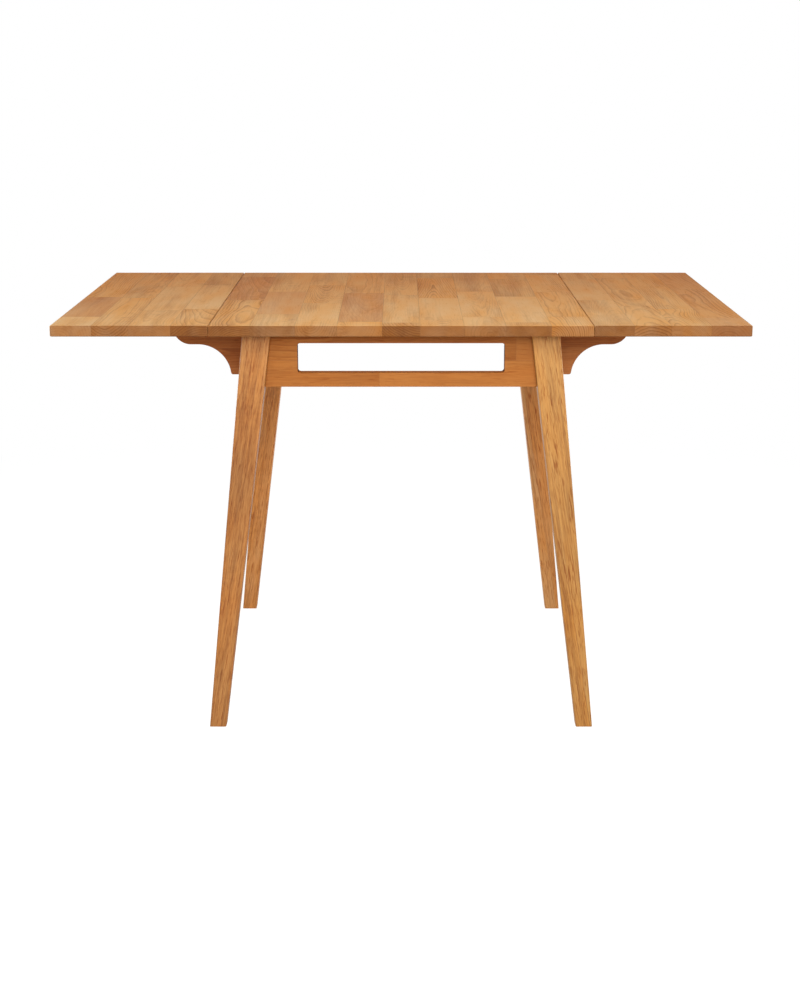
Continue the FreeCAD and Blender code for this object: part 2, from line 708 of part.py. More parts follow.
def wing_profile(sketch):
    """Ogee bracket from its root at the origin: a toe, a hollow cove, a step and a round nose."""
    length = value("Sizes.wing_length")
    height = value("Sizes.wing_height")
    tip = height - value("Sizes.wing_tip_height")
    nose = value("Sizes.wing_nose_radius")
    cove = value("Sizes.wing_cove_radius")
    start = value("Sizes.wing_cove_start")
    step_level = tip - nose
    cove_centre = FreeCAD.Vector(start + (cove ** 2 - (step_level - cove) ** 2) ** 0.5, step_level - cove, 0)
    nose_centre = FreeCAD.Vector(length - nose, tip, 0)
    step_start = FreeCAD.Vector(cove_centre.x, step_level, 0)
    step_end = FreeCAD.Vector(nose_centre.x, step_level, 0)
    toe = FreeCAD.Vector(start, 0, 0)
    root = FreeCAD.Vector(0, 0, 0)
    root_top = FreeCAD.Vector(0, height, 0)
    tip_top = FreeCAD.Vector(length, height, 0)
    tip_low = FreeCAD.Vector(length, tip, 0)
    half = 0.5 ** 0.5
    cove_middle = cove_centre + FreeCAD.Vector(-cove * half, cove * half, 0)
    nose_middle = nose_centre + FreeCAD.Vector(nose * half, -nose * half, 0)

    bottom = sketch.addGeometry(Part.LineSegment(root, toe))
    cove_arc = sketch.addGeometry(Part.Arc(toe, cove_middle, step_start))
    step = sketch.addGeometry(Part.LineSegment(step_start, step_end))
    nose_arc = sketch.addGeometry(Part.Arc(step_end, nose_middle, tip_low))
    tip_face = sketch.addGeometry(Part.LineSegment(tip_low, tip_top))
    top = sketch.addGeometry(Part.LineSegment(tip_top, root_top))
    root_face = sketch.addGeometry(Part.LineSegment(root_top, root))

    def end_at(geometry, point):
        """Number of the end of a curve that lies at a point."""
        start_point = sketch.getPoint(geometry, 1)
        return 1 if (start_point - point).Length < 1e-6 else 2

    def join(kind, first, second, point):
        sketch.addConstraint(Sketcher.Constraint(kind, first, end_at(first, point), second,
                                                 end_at(second, point)))

    join("Coincident", bottom, cove_arc, toe)
    join("Tangent", cove_arc, step, step_start)
    join("Tangent", step, nose_arc, step_end)
    join("Tangent", nose_arc, tip_face, tip_low)
    join("Coincident", tip_face, top, tip_top)
    join("Coincident", top, root_face, root_top)
    join("Coincident", root_face, bottom, root)
    sketch.addConstraint(Sketcher.Constraint("Coincident", root_face, end_at(root_face, root), -1, 1))
    for line in (bottom, step, top):
        sketch.addConstraint(Sketcher.Constraint("Horizontal", line))
    for line in (root_face, tip_face):
        sketch.addConstraint(Sketcher.Constraint("Vertical", line))
    dimension(sketch, "toe", cell("wing_cove_start"), "DistanceX", bottom, 1, bottom, 2)
    dimension(sketch, "length", cell("wing_length"), "DistanceX", root_face, 1, tip_face, 2)
    dimension(sketch, "height", cell("wing_height"), "DistanceY", root_face, 2, root_face, 1)
    dimension(sketch, "tip", cell("wing_tip_height"), "DistanceY", tip_face, 1, tip_face, 2)
    dimension(sketch, "nose", cell("wing_nose_radius"), "Radius", nose_arc)
    dimension(sketch, "cove", cell("wing_cove_radius"), "Radius", cove_arc)


def make_wings(hinge_drill):
    """The four wings, standing straight out under the leaves."""
    body = new_body("wing")
    sketch = new_sketch(body, "wing_profile", "XZ_Plane")
    wing_profile(sketch)
    plank = pad(body, sketch, cell("wing_thickness"))

    def is_toe(edge):
        at_toe = abs(edge.CenterOfMass.x - value("Sizes.wing_cove_start")) < 1e-3
        return runs_along(edge, Y_AXIS) and at_toe and abs(edge.CenterOfMass.z) < 1e-3

    dress(body, "Fillet", plank, edges_where(plank, is_toe), Radius=cell("wing_toe_radius"))
    place(body, f"{end_face_x} + Sizes.face_gap", wing_outer_y, f"{wing_top} - Sizes.wing_height")
    corner_nodes("wing", cut("wing_drilled", body, hinge_drill))


# ---------------------------------------------------------------- hinge assemblies

def make_wing_hinges():
    """One upright hinge for each wing; returns the drills in the end apron and in the wing."""
    fixed, moving, pin, screws, drills = knuckle_hinge("wing_hinge", knuckle_count=5)
    axis = {"x": wing_axis_x, "y": wing_axis_y, "z": wing_axis_z}
    on_apron = frame_turn((0, -1, 0), (1, 0, 0), (0, 0, 1))
    on_wing = frame_turn((1, 0, 0), (0, -1, 0), (0, 0, -1))
    fixed_here = copy_at("wing_hinge_fixed_here", fixed, turn=on_apron, **axis)
    moving_here = copy_at("wing_hinge_moving_here", moving, turn=on_wing, **axis)
    pin_here = copy_at("wing_hinge_pin_here", pin, **axis)
    fixed_screws = copy_at("wing_hinge_fixed_screws", screws, turn=on_apron, **axis)
    moving_screws = copy_at("wing_hinge_moving_screws", screws, turn=on_wing, **axis)
    node("wing_hinge_fixed_plates", four_corners("wing_fixed_plate_set", fixed_here))
    node("wing_hinge_pins", four_corners("wing_pin_set", pin_here))
    node("wing_hinge_apron_screws", four_corners("wing_fixed_screw_set", fixed_screws))
    corner_nodes("wing_hinge_plate", moving_here)
    corner_nodes("wing_hinge_screws", moving_screws)
    return (copy_at("wing_hinge_apron_drills", drills, turn=on_apron, **axis),
            copy_at("wing_hinge_wing_drills", drills, turn=on_wing, **axis))


def make_leaf_hinges():
    """Three hinges under each seam; returns the drills in the centre board and in the leaf."""
    fixed, moving, pin, screws, drills = knuckle_hinge("leaf_hinge", knuckle_count=3)
    spread = "(Sizes.table_depth / 2 - Sizes.leaf_hinge_end_inset)"
    on_centre = frame_turn((-1, 0, 0), (0, 0, -1), (0, -1, 0))
    on_leaf = frame_turn((1, 0, 0), (0, 0, -1), (0, 1, 0))

    def along_seam(name, source, turn):
        copies = []
        for number in (-1, 0, 1):
            copies.append(copy_at(f"{name}_{number + 1}", source, seam_x, f"{number} * {spread}",
                                  leaf_axis_z, turn))
        return group(name, copies)

    fixed_row = along_seam("leaf_hinge_fixed_row", fixed, on_centre)
    pin_row = along_seam("leaf_hinge_pin_row", pin, on_centre)
    fixed_screws = along_seam("leaf_hinge_fixed_screw_row", screws, on_centre)
    node("leaf_hinge_centre_plates", both_ends("leaf_fixed_plate_set", fixed_row))
    node("leaf_hinge_pins", both_ends("leaf_pin_set", pin_row))
    node("leaf_hinge_centre_screws", both_ends("leaf_fixed_screw_set", fixed_screws))

    for stem, source in (("leaf_hinge_plates", moving), ("leaf_hinge_screws", screws)):
        right = node(f"{stem}_right", along_seam(f"{stem}_row", source, on_leaf))
        node(f"{stem}_left", mirror(f"{stem}_image", right, X_AXIS))
    return (both_ends("leaf_hinge_centre_drills", along_seam("leaf_centre_drill_row", drills, on_centre)),
            along_seam("leaf_drill_row", drills, on_leaf))


# ---------------------------------------------------------------- assembly

bolt_hole = make_bolts()
block_holes = make_blocks(bolt_hole)
cleat_holes = make_cleats()
apron_hinge_holes, wing_holes = make_wing_hinges()
centre_hinge_holes, leaf_holes = make_leaf_hinges()

make_top(group("centre_top_drills", [cleat_holes, centre_hinge_holes]), leaf_holes)
make_legs(bolt_hole)
make_aprons(block_holes, apron_hinge_holes)
make_wings(wing_holes)
doc.recompute()


# ---------------------------------------------------------------- checks and output

for obj in doc.Objects:
    for state in ("Invalid", "Error"):
        if state in obj.State:
            raise RuntimeError(f"{obj.Label} is in state {obj.State}")

for name, obj in nodes.items():
    shape = obj.Shape
    if shape.isNull() or not shape.isValid() or not shape.Solids:
        raise RuntimeError(f"{name} has no valid solid")

os.makedirs("parts", exist_ok=True)
for name, obj in nodes.items():
    obj.Shape.exportStep(f"parts/{name}.step")
    print(f"{name}: {len(obj.Shape.Solids)} solids, {obj.Shape.Volume / 1000:.1f} cm3")
print(f"{len(nodes)} nodes")
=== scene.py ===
import math

import bmesh
import bpy
from mathutils import Matrix, Vector


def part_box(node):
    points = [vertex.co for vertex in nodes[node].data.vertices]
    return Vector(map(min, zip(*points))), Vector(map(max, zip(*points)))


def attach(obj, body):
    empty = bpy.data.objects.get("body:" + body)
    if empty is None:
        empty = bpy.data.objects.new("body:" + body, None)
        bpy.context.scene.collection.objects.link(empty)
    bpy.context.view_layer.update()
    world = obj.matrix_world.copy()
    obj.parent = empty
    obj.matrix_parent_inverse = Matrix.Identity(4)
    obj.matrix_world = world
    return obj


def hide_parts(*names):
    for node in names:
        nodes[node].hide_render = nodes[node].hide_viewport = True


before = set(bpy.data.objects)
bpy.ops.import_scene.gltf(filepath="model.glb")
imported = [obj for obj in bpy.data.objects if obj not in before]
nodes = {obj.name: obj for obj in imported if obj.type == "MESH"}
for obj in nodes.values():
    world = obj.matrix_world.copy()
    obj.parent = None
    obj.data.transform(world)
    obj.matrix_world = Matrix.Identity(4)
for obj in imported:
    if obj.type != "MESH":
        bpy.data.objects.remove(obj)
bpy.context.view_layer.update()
print("frame loaded:", len(nodes), "nodes")


# camera, a level tabletop seen from a little above

cameraSettings = {
    "lens": 64.68,                     # mm
    "sensor": 36,                      # mm across
    "place": (-0.0019, -3.4715, 1.2095),
    "pitch": 14.135,                   # degrees below level
}


def makeCamera(settings):
    data = bpy.data.cameras.new("tableCamera")
    data.lens = settings["lens"]
    data.sensor_width = settings["sensor"]
    camera = bpy.data.objects.new("tableCamera", data)
    camera.location = settings["place"]
    camera.rotation_euler = (math.radians(90 - settings["pitch"]), 0, 0)
    bpy.context.scene.collection.objects.link(camera)
    bpy.context.scene.camera = camera


makeCamera(cameraSettings)
print("camera ready")


# node helpers

def feed(tree, socket, value):
    if isinstance(value, bpy.types.NodeSocket):
        tree.links.new(value, socket)
    elif value is not None:
        socket.default_value = value


def addNode(tree, kind, inputs=None, **settings):
    node = tree.nodes.new(kind)
    for name, value in settings.items():
        setattr(node, name, value)
    for name, value in (inputs or {}).items():
        feed(tree, node.inputs[name], value)
    return node


def calc(tree, operation, *values, clamp=False):
    node = addNode(tree, "ShaderNodeMath", operation=operation, use_clamp=clamp)
    for socket, value in zip(node.inputs, values):
        feed(tree, socket, value)
    return node.outputs[0]


def vectorCalc(tree, operation, *values):
    node = addNode(tree, "ShaderNodeVectorMath", operation=operation)
    for socket, value in zip(node.inputs, values):
        feed(tree, socket, value)
    return node.outputs["Value" if operation in ("DOT_PRODUCT", "LENGTH") else "Vector"]


def remap(tree, value, low, high, newLow=0.0, newHigh=1.0):
    node = addNode(tree, "ShaderNodeMapRange", interpolation_type="SMOOTHSTEP")
    for name, setting in (("Value", value), ("From Min", low), ("From Max", high),
                          ("To Min", newLow), ("To Max", newHigh)):
        feed(tree, node.inputs[name], setting)
    return node.outputs["Result"]


def split(tree, vector):
    node = addNode(tree, "ShaderNodeSeparateXYZ", {"Vector": vector})
    return node.outputs["X"], node.outputs["Y"], node.outputs["Z"]


def joinVector(tree, x=0.0, y=0.0, z=0.0):
    return addNode(tree, "ShaderNodeCombineXYZ", {"X": x, "Y": y, "Z": z}).outputs["Vector"]


def mixColors(tree, factor, first, second, blend="MIX"):
    node = addNode(tree, "ShaderNodeMix", data_type="RGBA", blend_type=blend)
    feed(tree, node.inputs[0], factor)
    feed(tree, node.inputs[6], first)
    feed(tree, node.inputs[7], second)
    return node.outputs[2]


def tinted(tree, color, tint):
    return mixColors(tree, 1.0, color, tint, "MULTIPLY")


def noise(tree, vector, scale=1.0, detail=2.0, roughness=0.5):
    node = addNode(tree, "ShaderNodeTexNoise", {"Vector": vector, "Scale": scale, "Detail": detail,
                                                "Roughness": roughness})
    return node.outputs["Fac"]


def drawFor(tree, key):
    # a chance value and colour, the same wherever the key is the same
    return addNode(tree, "ShaderNodeTexWhiteNoise", {"Vector": key}, noise_dimensions="3D").outputs


def spread(tree, draw, low, high):
    # a draw from 0 to 1, spread from low to high
    return calc(tree, "MULTIPLY_ADD", draw, high - low, low)


def newGroup(name, inputs, outputs):
    group = bpy.data.node_groups.new(name, "ShaderNodeTree")
    for socketName, kind in inputs:
        group.interface.new_socket(socketName, in_out="INPUT", socket_type="NodeSocket" + kind)
    for socketName, kind in outputs:
        group.interface.new_socket(socketName, in_out="OUTPUT", socket_type="NodeSocket" + kind)
    return group, group.nodes.new("NodeGroupInput").outputs, group.nodes.new("NodeGroupOutput").inputs


# solid wood glued up from staves: X across the staves, Y along the grain, Z through the board

woodSettings = {
    "jointStray": 0.06,                # how far a glue joint leaves its even place, in stave widths
    "blockStray": 0.8,                 # how uneven the blocks' lengths are, 0 to 1
    "heartAside": 0.045,               # m, how far a log's heart lies from its stave's middle
    "heartDepth": 0.07,                # m, how far above or below the piece's middle it lies
    "wander": 0.014,                   # m, how far it wanders along the log
    "ringRange": (0.6, 1.5),           # how far the ring gap differs between blocks
    "ringWaver": 0.8,                  # how far a ring bulges, in ring gaps
    "earlyWood": 0.25,                 # where a ring stops being pale, as a share of its gap
    "lateWood": (0.30, 0.90),          # where it turns dark and is darkest
    "boldRange": (0.25, 1.35),         # how strongly a block shows its rings
    "ringDark": (0.4, 1.1),            # how dark one ring is beside the next
    "shadeBase": 0.08,
    "warmTint": (1.0, 0.78, 0.45, 1.0),
    "poreTint": (0.58, 0.38, 0.22, 1.0),
    "endTints": ((0.46, 0.39, 0.38, 1.0), (0.27, 0.20, 0.175, 1.0)),
    "endRing": (0.13, 0.045, 0.014, 1.0),
    "endFacing": (0.45, 0.70),         # how squarely a face cuts the grain before it shows end grain
    # painted shade on each board's back end: this tint darkens and reddens it where less light falls
    "backShadeTint": (0.93, 0.73, 0.53, 1.0),
    "backShadeRange": (-0.38, 0.38),        # m along the grain, from no painted back shade to all of it
    "glueColor": (0.16, 0.07, 0.03, 1.0),
    "glueLine": 0.0006,                # m
    "relief": 0.0004,                  # m, depth of the pores at full bump
}


def makeWoodGroup(settings):
    numbers = ("End grain", "Seed", "Stave width", "Stave count", "Block length", "Ring gap", "Taper",
               "Ring depth", "Fibre depth", "Pore depth", "Figure", "Knots", "Clouds", "Warmth", "Tone spread",
               "Red share", "Fade", "Satin")
    tree, given, made = newGroup(
        "joinedOak",
        [("Place", "Vector")] + [(name, "Float") for name in numbers]
        + [(name, "Color") for name in ("Pale", "Deep", "Red")],
        [("Color", "Color"), ("Roughness", "Float"), ("Height", "Float")])
    place = given["Place"]
    x, y, z = split(tree, place)
    seed = given["Seed"]

    # which stave, with each joint a little off its even place; a key's last number keeps its draw apart
    across = calc(tree, "DIVIDE", x, given["Stave width"])
    joint = calc(tree, "ROUND", across)
    jitter = drawFor(tree, joinVector(tree, joint, seed, 3.1))["Value"]
    jointAt = calc(tree, "ADD", joint, spread(tree, jitter, -settings["jointStray"], settings["jointStray"]))
    past = calc(tree, "GREATER_THAN", across, jointAt)
    stave = calc(tree, "ADD", calc(tree, "SUBTRACT", joint, 1.0), past)
    lastStave = calc(tree, "SUBTRACT", given["Stave count"], 1.0)
    stave = calc(tree, "MINIMUM", calc(tree, "MAXIMUM", stave, 0.0), lastStave)

    # which block along the stave, and what is drawn for it
    start = calc(tree, "MULTIPLY", drawFor(tree, joinVector(tree, stave, seed, 7.7))["Value"], 37.0)
    along = calc(tree, "ADD", calc(tree, "DIVIDE", y, given["Block length"]), start)
    cells = {"W": along, "Scale": 1.0, "Randomness": settings["blockStray"]}
    block = addNode(tree, "ShaderNodeTexVoronoi", cells, voronoi_dimensions="1D").outputs["W"]
    blockEdge = addNode(tree, "ShaderNodeTexVoronoi", cells, voronoi_dimensions="1D", feature="DISTANCE_TO_EDGE")
    blockKey = joinVector(tree, block, stave, seed)
    draw = drawFor(tree, blockKey)
    tone = draw["Value"]
    asideDraw, depthDraw, slopeDraw = split(tree, draw["Color"])
    other = drawFor(tree, vectorCalc(tree, "ADD", blockKey, (5.3, 9.1, 2.7)))
    boldDraw, redDraw, gapDraw = split(tree, other["Color"])
    blockShift = vectorCalc(tree, "MULTIPLY", draw["Color"], (40.0, 40.0, 40.0))

    def stretched(crossWaves, grainWaves):
        # waves per metre, across and along the grain
        return vectorCalc(tree, "MULTIPLY", place, (crossWaves, grainWaves, crossWaves))

    def shifted(crossWaves, grainWaves):
        # the same, cut from another place for each block
        return vectorCalc(tree, "ADD", stretched(crossWaves, grainWaves), blockShift)

    # rings by their distance from the heart of the block's log, which wanders and tapers
    drift = addNode(tree, "ShaderNodeTexNoise", {"Vector": shifted(8.0, 3.2), "Scale": 1.0, "Detail": 2.0,
                                                 "Roughness": 0.45})
    driftX, driftZ = split(tree, drift.outputs["Color"])[::2]
    wander, aside, depth = settings["wander"], settings["heartAside"], settings["heartDepth"]
    centreX = calc(tree, "MULTIPLY", calc(tree, "ADD", stave, 0.5), given["Stave width"])
    heartX = calc(tree, "ADD", centreX, spread(tree, asideDraw, -aside, aside))
    heartZ = spread(tree, depthDraw, -depth, depth)
    offX = calc(tree, "ADD", calc(tree, "SUBTRACT", x, heartX), spread(tree, driftX, -wander, wander))
    offZ = calc(tree, "ADD", calc(tree, "SUBTRACT", z, heartZ), spread(tree, driftZ, -wander, wander))
    radius = vectorCalc(tree, "LENGTH", joinVector(tree, offX, offZ))
    slope = calc(tree, "MULTIPLY", spread(tree, slopeDraw, -1.0, 1.0), given["Taper"])
    radius = calc(tree, "MULTIPLY_ADD", y, slope, radius)
    ringGap = calc(tree, "MULTIPLY", given["Ring gap"], spread(tree, gapDraw, *settings["ringRange"]))
    waver = noise(tree, shifted(55.0, 14.0))
    phase = calc(tree, "MULTIPLY_ADD", waver, settings["ringWaver"], calc(tree, "DIVIDE", radius, ringGap))
    within = calc(tree, "FRACT", phase)
    ringDraw = drawFor(tree, joinVector(tree, calc(tree, "FLOOR", phase), stave, block))["Value"]
    darkFrom, darkest = settings["lateWood"]
    dark = calc(tree, "SUBTRACT", remap(tree, within, darkFrom, darkest), remap(tree, within, darkest, 1.0))
    dark = calc(tree, "POWER", dark, 2.4)
    bold = spread(tree, calc(tree, "POWER", boldDraw, 1.5), *settings["boldRange"])
    dark = calc(tree, "MULTIPLY", dark, spread(tree, ringDraw, *settings["ringDark"]))
    dark = calc(tree, "MULTIPLY", dark, bold)
    light = calc(tree, "MULTIPLY", remap(tree, within, settings["earlyWood"], 0.0), bold)

    # fibres, pores in the early wood, a faint cross figure and flecks
    fibre = noise(tree, stretched(380.0, 9.0), detail=3.0, roughness=0.6)
    streak = noise(tree, shifted(85.0, 2.2), roughness=0.6)
    cloud = noise(tree, shifted(22.0, 3.6))
    poreShort = noise(tree, stretched(950.0, 45.0), detail=1.0)
    poreLong = noise(tree, stretched(600.0, 34.0), detail=1.0)
    poreFrom = calc(tree, "MULTIPLY_ADD", given["Pore depth"], -0.10, 0.65)
    poreTo = calc(tree, "ADD", poreFrom, 0.12)
    pore = calc(tree, "MAXIMUM", calc(tree, "MULTIPLY", remap(tree, poreShort, poreFrom, poreTo), 0.7),
                remap(tree, poreLong, poreFrom, poreTo))
    pore = calc(tree, "MULTIPLY", pore, remap(tree, within, 0.75, 0.15, 0.4, 1.0))
    ripple = noise(tree, stretched(60.0, 130.0), detail=1.0)
    rippleSpot = remap(tree, noise(tree, shifted(12.0, 7.0), detail=1.0), 0.5, 0.7)
    fleck = remap(tree, noise(tree, shifted(34.0, 26.0), detail=0.0), 0.80, 0.86)

    # colour
    shade = calc(tree, "MULTIPLY", dark, given["Ring depth"])
    shade = calc(tree, "SUBTRACT", shade, calc(tree, "MULTIPLY", light, 0.22))
    for wave, strength in ((fibre, "Fibre depth"), (streak, "Fibre depth"), (cloud, "Clouds")):
        shade = calc(tree, "MULTIPLY_ADD", calc(tree, "SUBTRACT", wave, 0.5), given[strength], shade)
    shade = calc(tree, "ADD", shade, settings["shadeBase"])
    figure = calc(tree, "MULTIPLY", calc(tree, "SUBTRACT", ripple, 0.5), rippleSpot)
    shade = calc(tree, "MULTIPLY_ADD", figure, given["Figure"], shade)
    shade = calc(tree, "MULTIPLY_ADD", calc(tree, "SUBTRACT", tone, 0.4), given["Tone spread"], shade)
    shade = calc(tree, "MULTIPLY_ADD", fleck, given["Knots"], shade, clamp=True)
    color = mixColors(tree, shade, given["Pale"], given["Deep"])
    redness = calc(tree, "MULTIPLY", remap(tree, redDraw, 0.60, 0.95), given["Red share"], clamp=True)
    color = mixColors(tree, redness, color, given["Red"])
    patch = noise(tree, shifted(30.0, 7.0))
    warm = calc(tree, "MULTIPLY_ADD", patch, 1.7, spread(tree, other["Value"], -0.6, -0.1), clamp=True)
    warm = calc(tree, "MULTIPLY", warm, given["Warmth"])
    color = mixColors(tree, warm, color, tinted(tree, color, settings["warmTint"]))
    poreShade = calc(tree, "MULTIPLY", pore, given["Pore depth"], clamp=True)
    color = mixColors(tree, poreShade, color, tinted(tree, color, settings["poreTint"]))
    endColor = tinted(tree, color, mixColors(tree, tone, *settings["endTints"]))
    endColor = mixColors(tree, calc(tree, "MULTIPLY", dark, 0.55, clamp=True), endColor, settings["endRing"])
    color = mixColors(tree, given["End grain"], color, endColor)

    # painted shade: a little darker and redder towards the board's back end, where less light falls
    paintedBackShade = calc(tree, "MULTIPLY", remap(tree, y, *settings["backShadeRange"]), given["Fade"])
    color = mixColors(tree, paintedBackShade, color, tinted(tree, color, settings["backShadeTint"]))

    # hairline glue joints
    jointGap = calc(tree, "MULTIPLY", calc(tree, "ABSOLUTE", calc(tree, "SUBTRACT", across, jointAt)),
                    given["Stave width"])
    blockGap = calc(tree, "MULTIPLY", blockEdge.outputs["Distance"], given["Block length"])
    line = remap(tree, calc(tree, "MINIMUM", jointGap, blockGap), settings["glueLine"], settings["glueLine"] / 3)
    color = mixColors(tree, calc(tree, "MULTIPLY", line, 0.35), color, settings["glueColor"])

    rough = calc(tree, "MULTIPLY_ADD", fibre, 0.14, given["Satin"])
    rough = calc(tree, "MULTIPLY_ADD", pore, 0.15, rough)
    rough = calc(tree, "MULTIPLY_ADD", given["End grain"], 0.15, rough)
    height = calc(tree, "MULTIPLY_ADD", dark, 0.2, calc(tree, "MULTIPLY", pore, given["Pore depth"]))
    height = calc(tree, "MULTIPLY_ADD", line, 0.6, height)
    feed(tree, made["Color"], color)
    feed(tree, made["Roughness"], rough)
    feed(tree, made["Height"], calc(tree, "MULTIPLY", height, -1.0))
    return tree


woodGroup = makeWoodGroup(woodSettings)


# one wood for each piece: `across` and `grain` say how its boards lie, `corner` where its staves start

def woodMaterial(name, look, across, grain, corner, seed):
    material = bpy.data.materials.new(name)
    material.use_nodes = True
    tree = material.node_tree
    shader = tree.nodes["Principled BSDF"]
    across, grain = Vector(across), Vector(grain).normalized()
    across = (across - grain * across.dot(grain)).normalized()
    turn = Matrix((across, grain, across.cross(grain))).transposed().to_euler()
    coords = tree.nodes.new("ShaderNodeTexCoord")
    place = addNode(tree, "ShaderNodeMapping", {"Vector": coords.outputs["Object"], "Location": corner,
                                                "Rotation": turn}, vector_type="TEXTURE")
    facing = calc(tree, "ABSOLUTE", vectorCalc(tree, "DOT_PRODUCT", coords.outputs["Normal"], tuple(grain)))
    wood = addNode(tree, "ShaderNodeGroup", node_tree=woodGroup)
    feed(tree, wood.inputs["Place"], place.outputs["Vector"])
    feed(tree, wood.inputs["End grain"], remap(tree, facing, *woodSettings["endFacing"]))
    wood.inputs["Seed"].default_value = seed
    for socket, value in look.items():
        if socket in wood.inputs:
            wood.inputs[socket].default_value = value
    bump = addNode(tree, "ShaderNodeBump", {"Strength": look["bump"], "Distance": woodSettings["relief"],
                                            "Height": wood.outputs["Height"]})
    feed(tree, shader.inputs["Base Color"], wood.outputs["Color"])
    feed(tree, shader.inputs["Roughness"], wood.outputs["Roughness"])
    feed(tree, shader.inputs["Normal"], bump.outputs["Normal"])
    shader.inputs["Specular IOR Level"].default_value = look["gloss"]
    return material


def toned(look, tone):
    changed = dict(look)
    for key in ("Pale", "Deep", "Red"):
        changed[key] = tuple(channel * share for channel, share in zip(look[key], tone)) + (1,)
    return changed


onePoint = 0.00001                     # m, points nearer than this are one


def ease(obj, width):
    weld = obj.modifiers.new("weld", "WELD")
    weld.merge_threshold = onePoint
    bevel = obj.modifiers.new("ease", "BEVEL")
    bevel.width = width
    bevel.segments = 2
    bevel.limit_method = "ANGLE"
    bevel.angle_limit = math.radians(30)
    bevel.harden_normals = True
    # the eased arrises take the paler second material: wear, and on the legs a painted highlight
    bevel.material = 1


# a wooden node gets its wood, and a paler one on its eased arrises: a little wear on the rails and wings, and on
# the legs a painted highlight along the edges

def finishWood(name, look, across, grain, corner, seed, easing):
    node = nodes[name]
    node.data.materials.clear()
    node.data.materials.append(woodMaterial(f"{name}_oak", look, across, grain, corner, seed))
    paleArrisLook = toned(look, (1 + look["wear"],) * 3)
    node.data.materials.append(woodMaterial(f"{name}_worn_and_highlit", paleArrisLook, across, grain, corner, seed))
    ease(node, easing)


boardSettings = {
    "centreStaves": 9,
    "leafStaves": 4,
    "firstSeed": 11.0,
    "easing": 0.0005,                  # m, as are the lengths in each look
    "look": {"Block length": 0.34, "Ring gap": 0.0036, "Taper": 0.09, "Ring depth": 0.5, "Fibre depth": 0.6,
             "Pore depth": 0.3, "Figure": 0.9, "Knots": 0.1, "Clouds": 1.3, "Warmth": 1.0, "Tone spread": 0.42,
             # the boards take their full painted shade towards the back end
             "Red share": 0.36, "Fade": 1.0, "Satin": 0.46, "Pale": (0.76, 0.460, 0.205, 1),
             "Deep": (0.41, 0.190, 0.068, 1), "Red": (0.50, 0.200, 0.085, 1), "bump": 0.35, "gloss": 0.05,
             "wear": 0.0},
}


def finishBoards(settings):
    for number, name in enumerate(("leaf_left", "centre_top", "leaf_right")):
        low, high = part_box(name)
        count = settings["centreStaves"] if name == "centre_top" else settings["leafStaves"]
        look = dict(settings["look"])
        look["Stave count"] = float(count)
        look["Stave width"] = (high.x - low.x) / count
        corner = (low.x, 0, (low.z + high.z) / 2)
        finishWood(name, look, (1, 0, 0), (0, 1, 0), corner, settings["firstSeed"] + number, settings["easing"])


finishBoards(boardSettings)
print("boards finished")


legSettings = {
    "firstSeed": 31.0,
    "easing": 0.0010,
    "runOut": 0.05,                    # how far the grain leaves the leg's axis, as a share of its length
    "staveStart": 0.025,               # m, from the foot's middle to the edge of the first stave
    # each leg's share of red, green and blue in the shared look: the front pair differ in their own tone, the back
    # pair are raised as painted light over the tabletop's shade
    "tonesWithBackLegLight": {"leg_front_left": (0.86, 0.80, 0.68), "leg_front_right": (0.94, 1.02, 0.90),
              "leg_back_left": (1.25, 1.33, 1.55), "leg_back_right": (1.17, 1.24, 1.37)},
    "look": {"Stave count": 2.0, "Stave width": 0.034, "Block length": 4.0, "Ring gap": 0.0042, "Taper": 0.02,
             "Ring depth": 0.22, "Fibre depth": 1.6, "Pore depth": 1.0, "Figure": 0.5, "Knots": 0.0,
             "Clouds": 0.8, "Warmth": 1.1, "Tone spread": 0.25, "Red share": 0.25, "Satin": 0.36,
             "Pale": (0.51, 0.250, 0.084, 1), "Deep": (0.225, 0.083, 0.021, 1), "Red": (0.34, 0.132, 0.050, 1),
             # the legs' arrises nearly twice as pale: a painted highlight along their edges
             "bump": 0.45, "gloss": 0.3, "wear": 0.95},
}


def middleAt(name, level):
    near = 0.001                       # m
    points = [v.co for v in nodes[name].data.vertices if abs(v.co.z - level) < near]
    return sum(points, Vector()) / len(points)


def finishLegs(settings):
    for number, (name, tone) in enumerate(settings["tonesWithBackLegLight"].items()):
        low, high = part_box(name)
        foot, top = middleAt(name, low.z), middleAt(name, high.z)
        corner = foot - Vector((settings["staveStart"], 0, 0))
        grain = (top - foot).normalized()
        grain.x += math.copysign(settings["runOut"], grain.x)
        # the back legs come out brighter here, light painted over the shade under the tabletop
        finishWood(name, toned(settings["look"], tone), (1, 0, 0), grain, corner,
                   settings["firstSeed"] + number, settings["easing"])


finishLegs(legSettings)
print("legs finished")


railSettings = {
    "firstSeed": 51.0,
    "blockSeed": 71.0,
    "easing": 0.0010,
    "look": {"Stave count": 2.0, "Stave width": 0.0485, "Block length": 0.42, "Ring gap": 0.0048, "Taper": 0.05,
             "Ring depth": 0.35, "Fibre depth": 0.7, "Pore depth": 0.6, "Figure": 0.3, "Knots": 0.2,
             "Clouds": 0.8, "Warmth": 0.5, "Tone spread": 0.3, "Red share": 0.25, "Satin": 0.4,
             "Pale": (0.375, 0.143, 0.033, 1), "Deep": (0.205, 0.057, 0.010, 1), "Red": (0.25, 0.070, 0.016, 1),
             "bump": 0.35, "gloss": 0.1, "wear": 0.08},
}

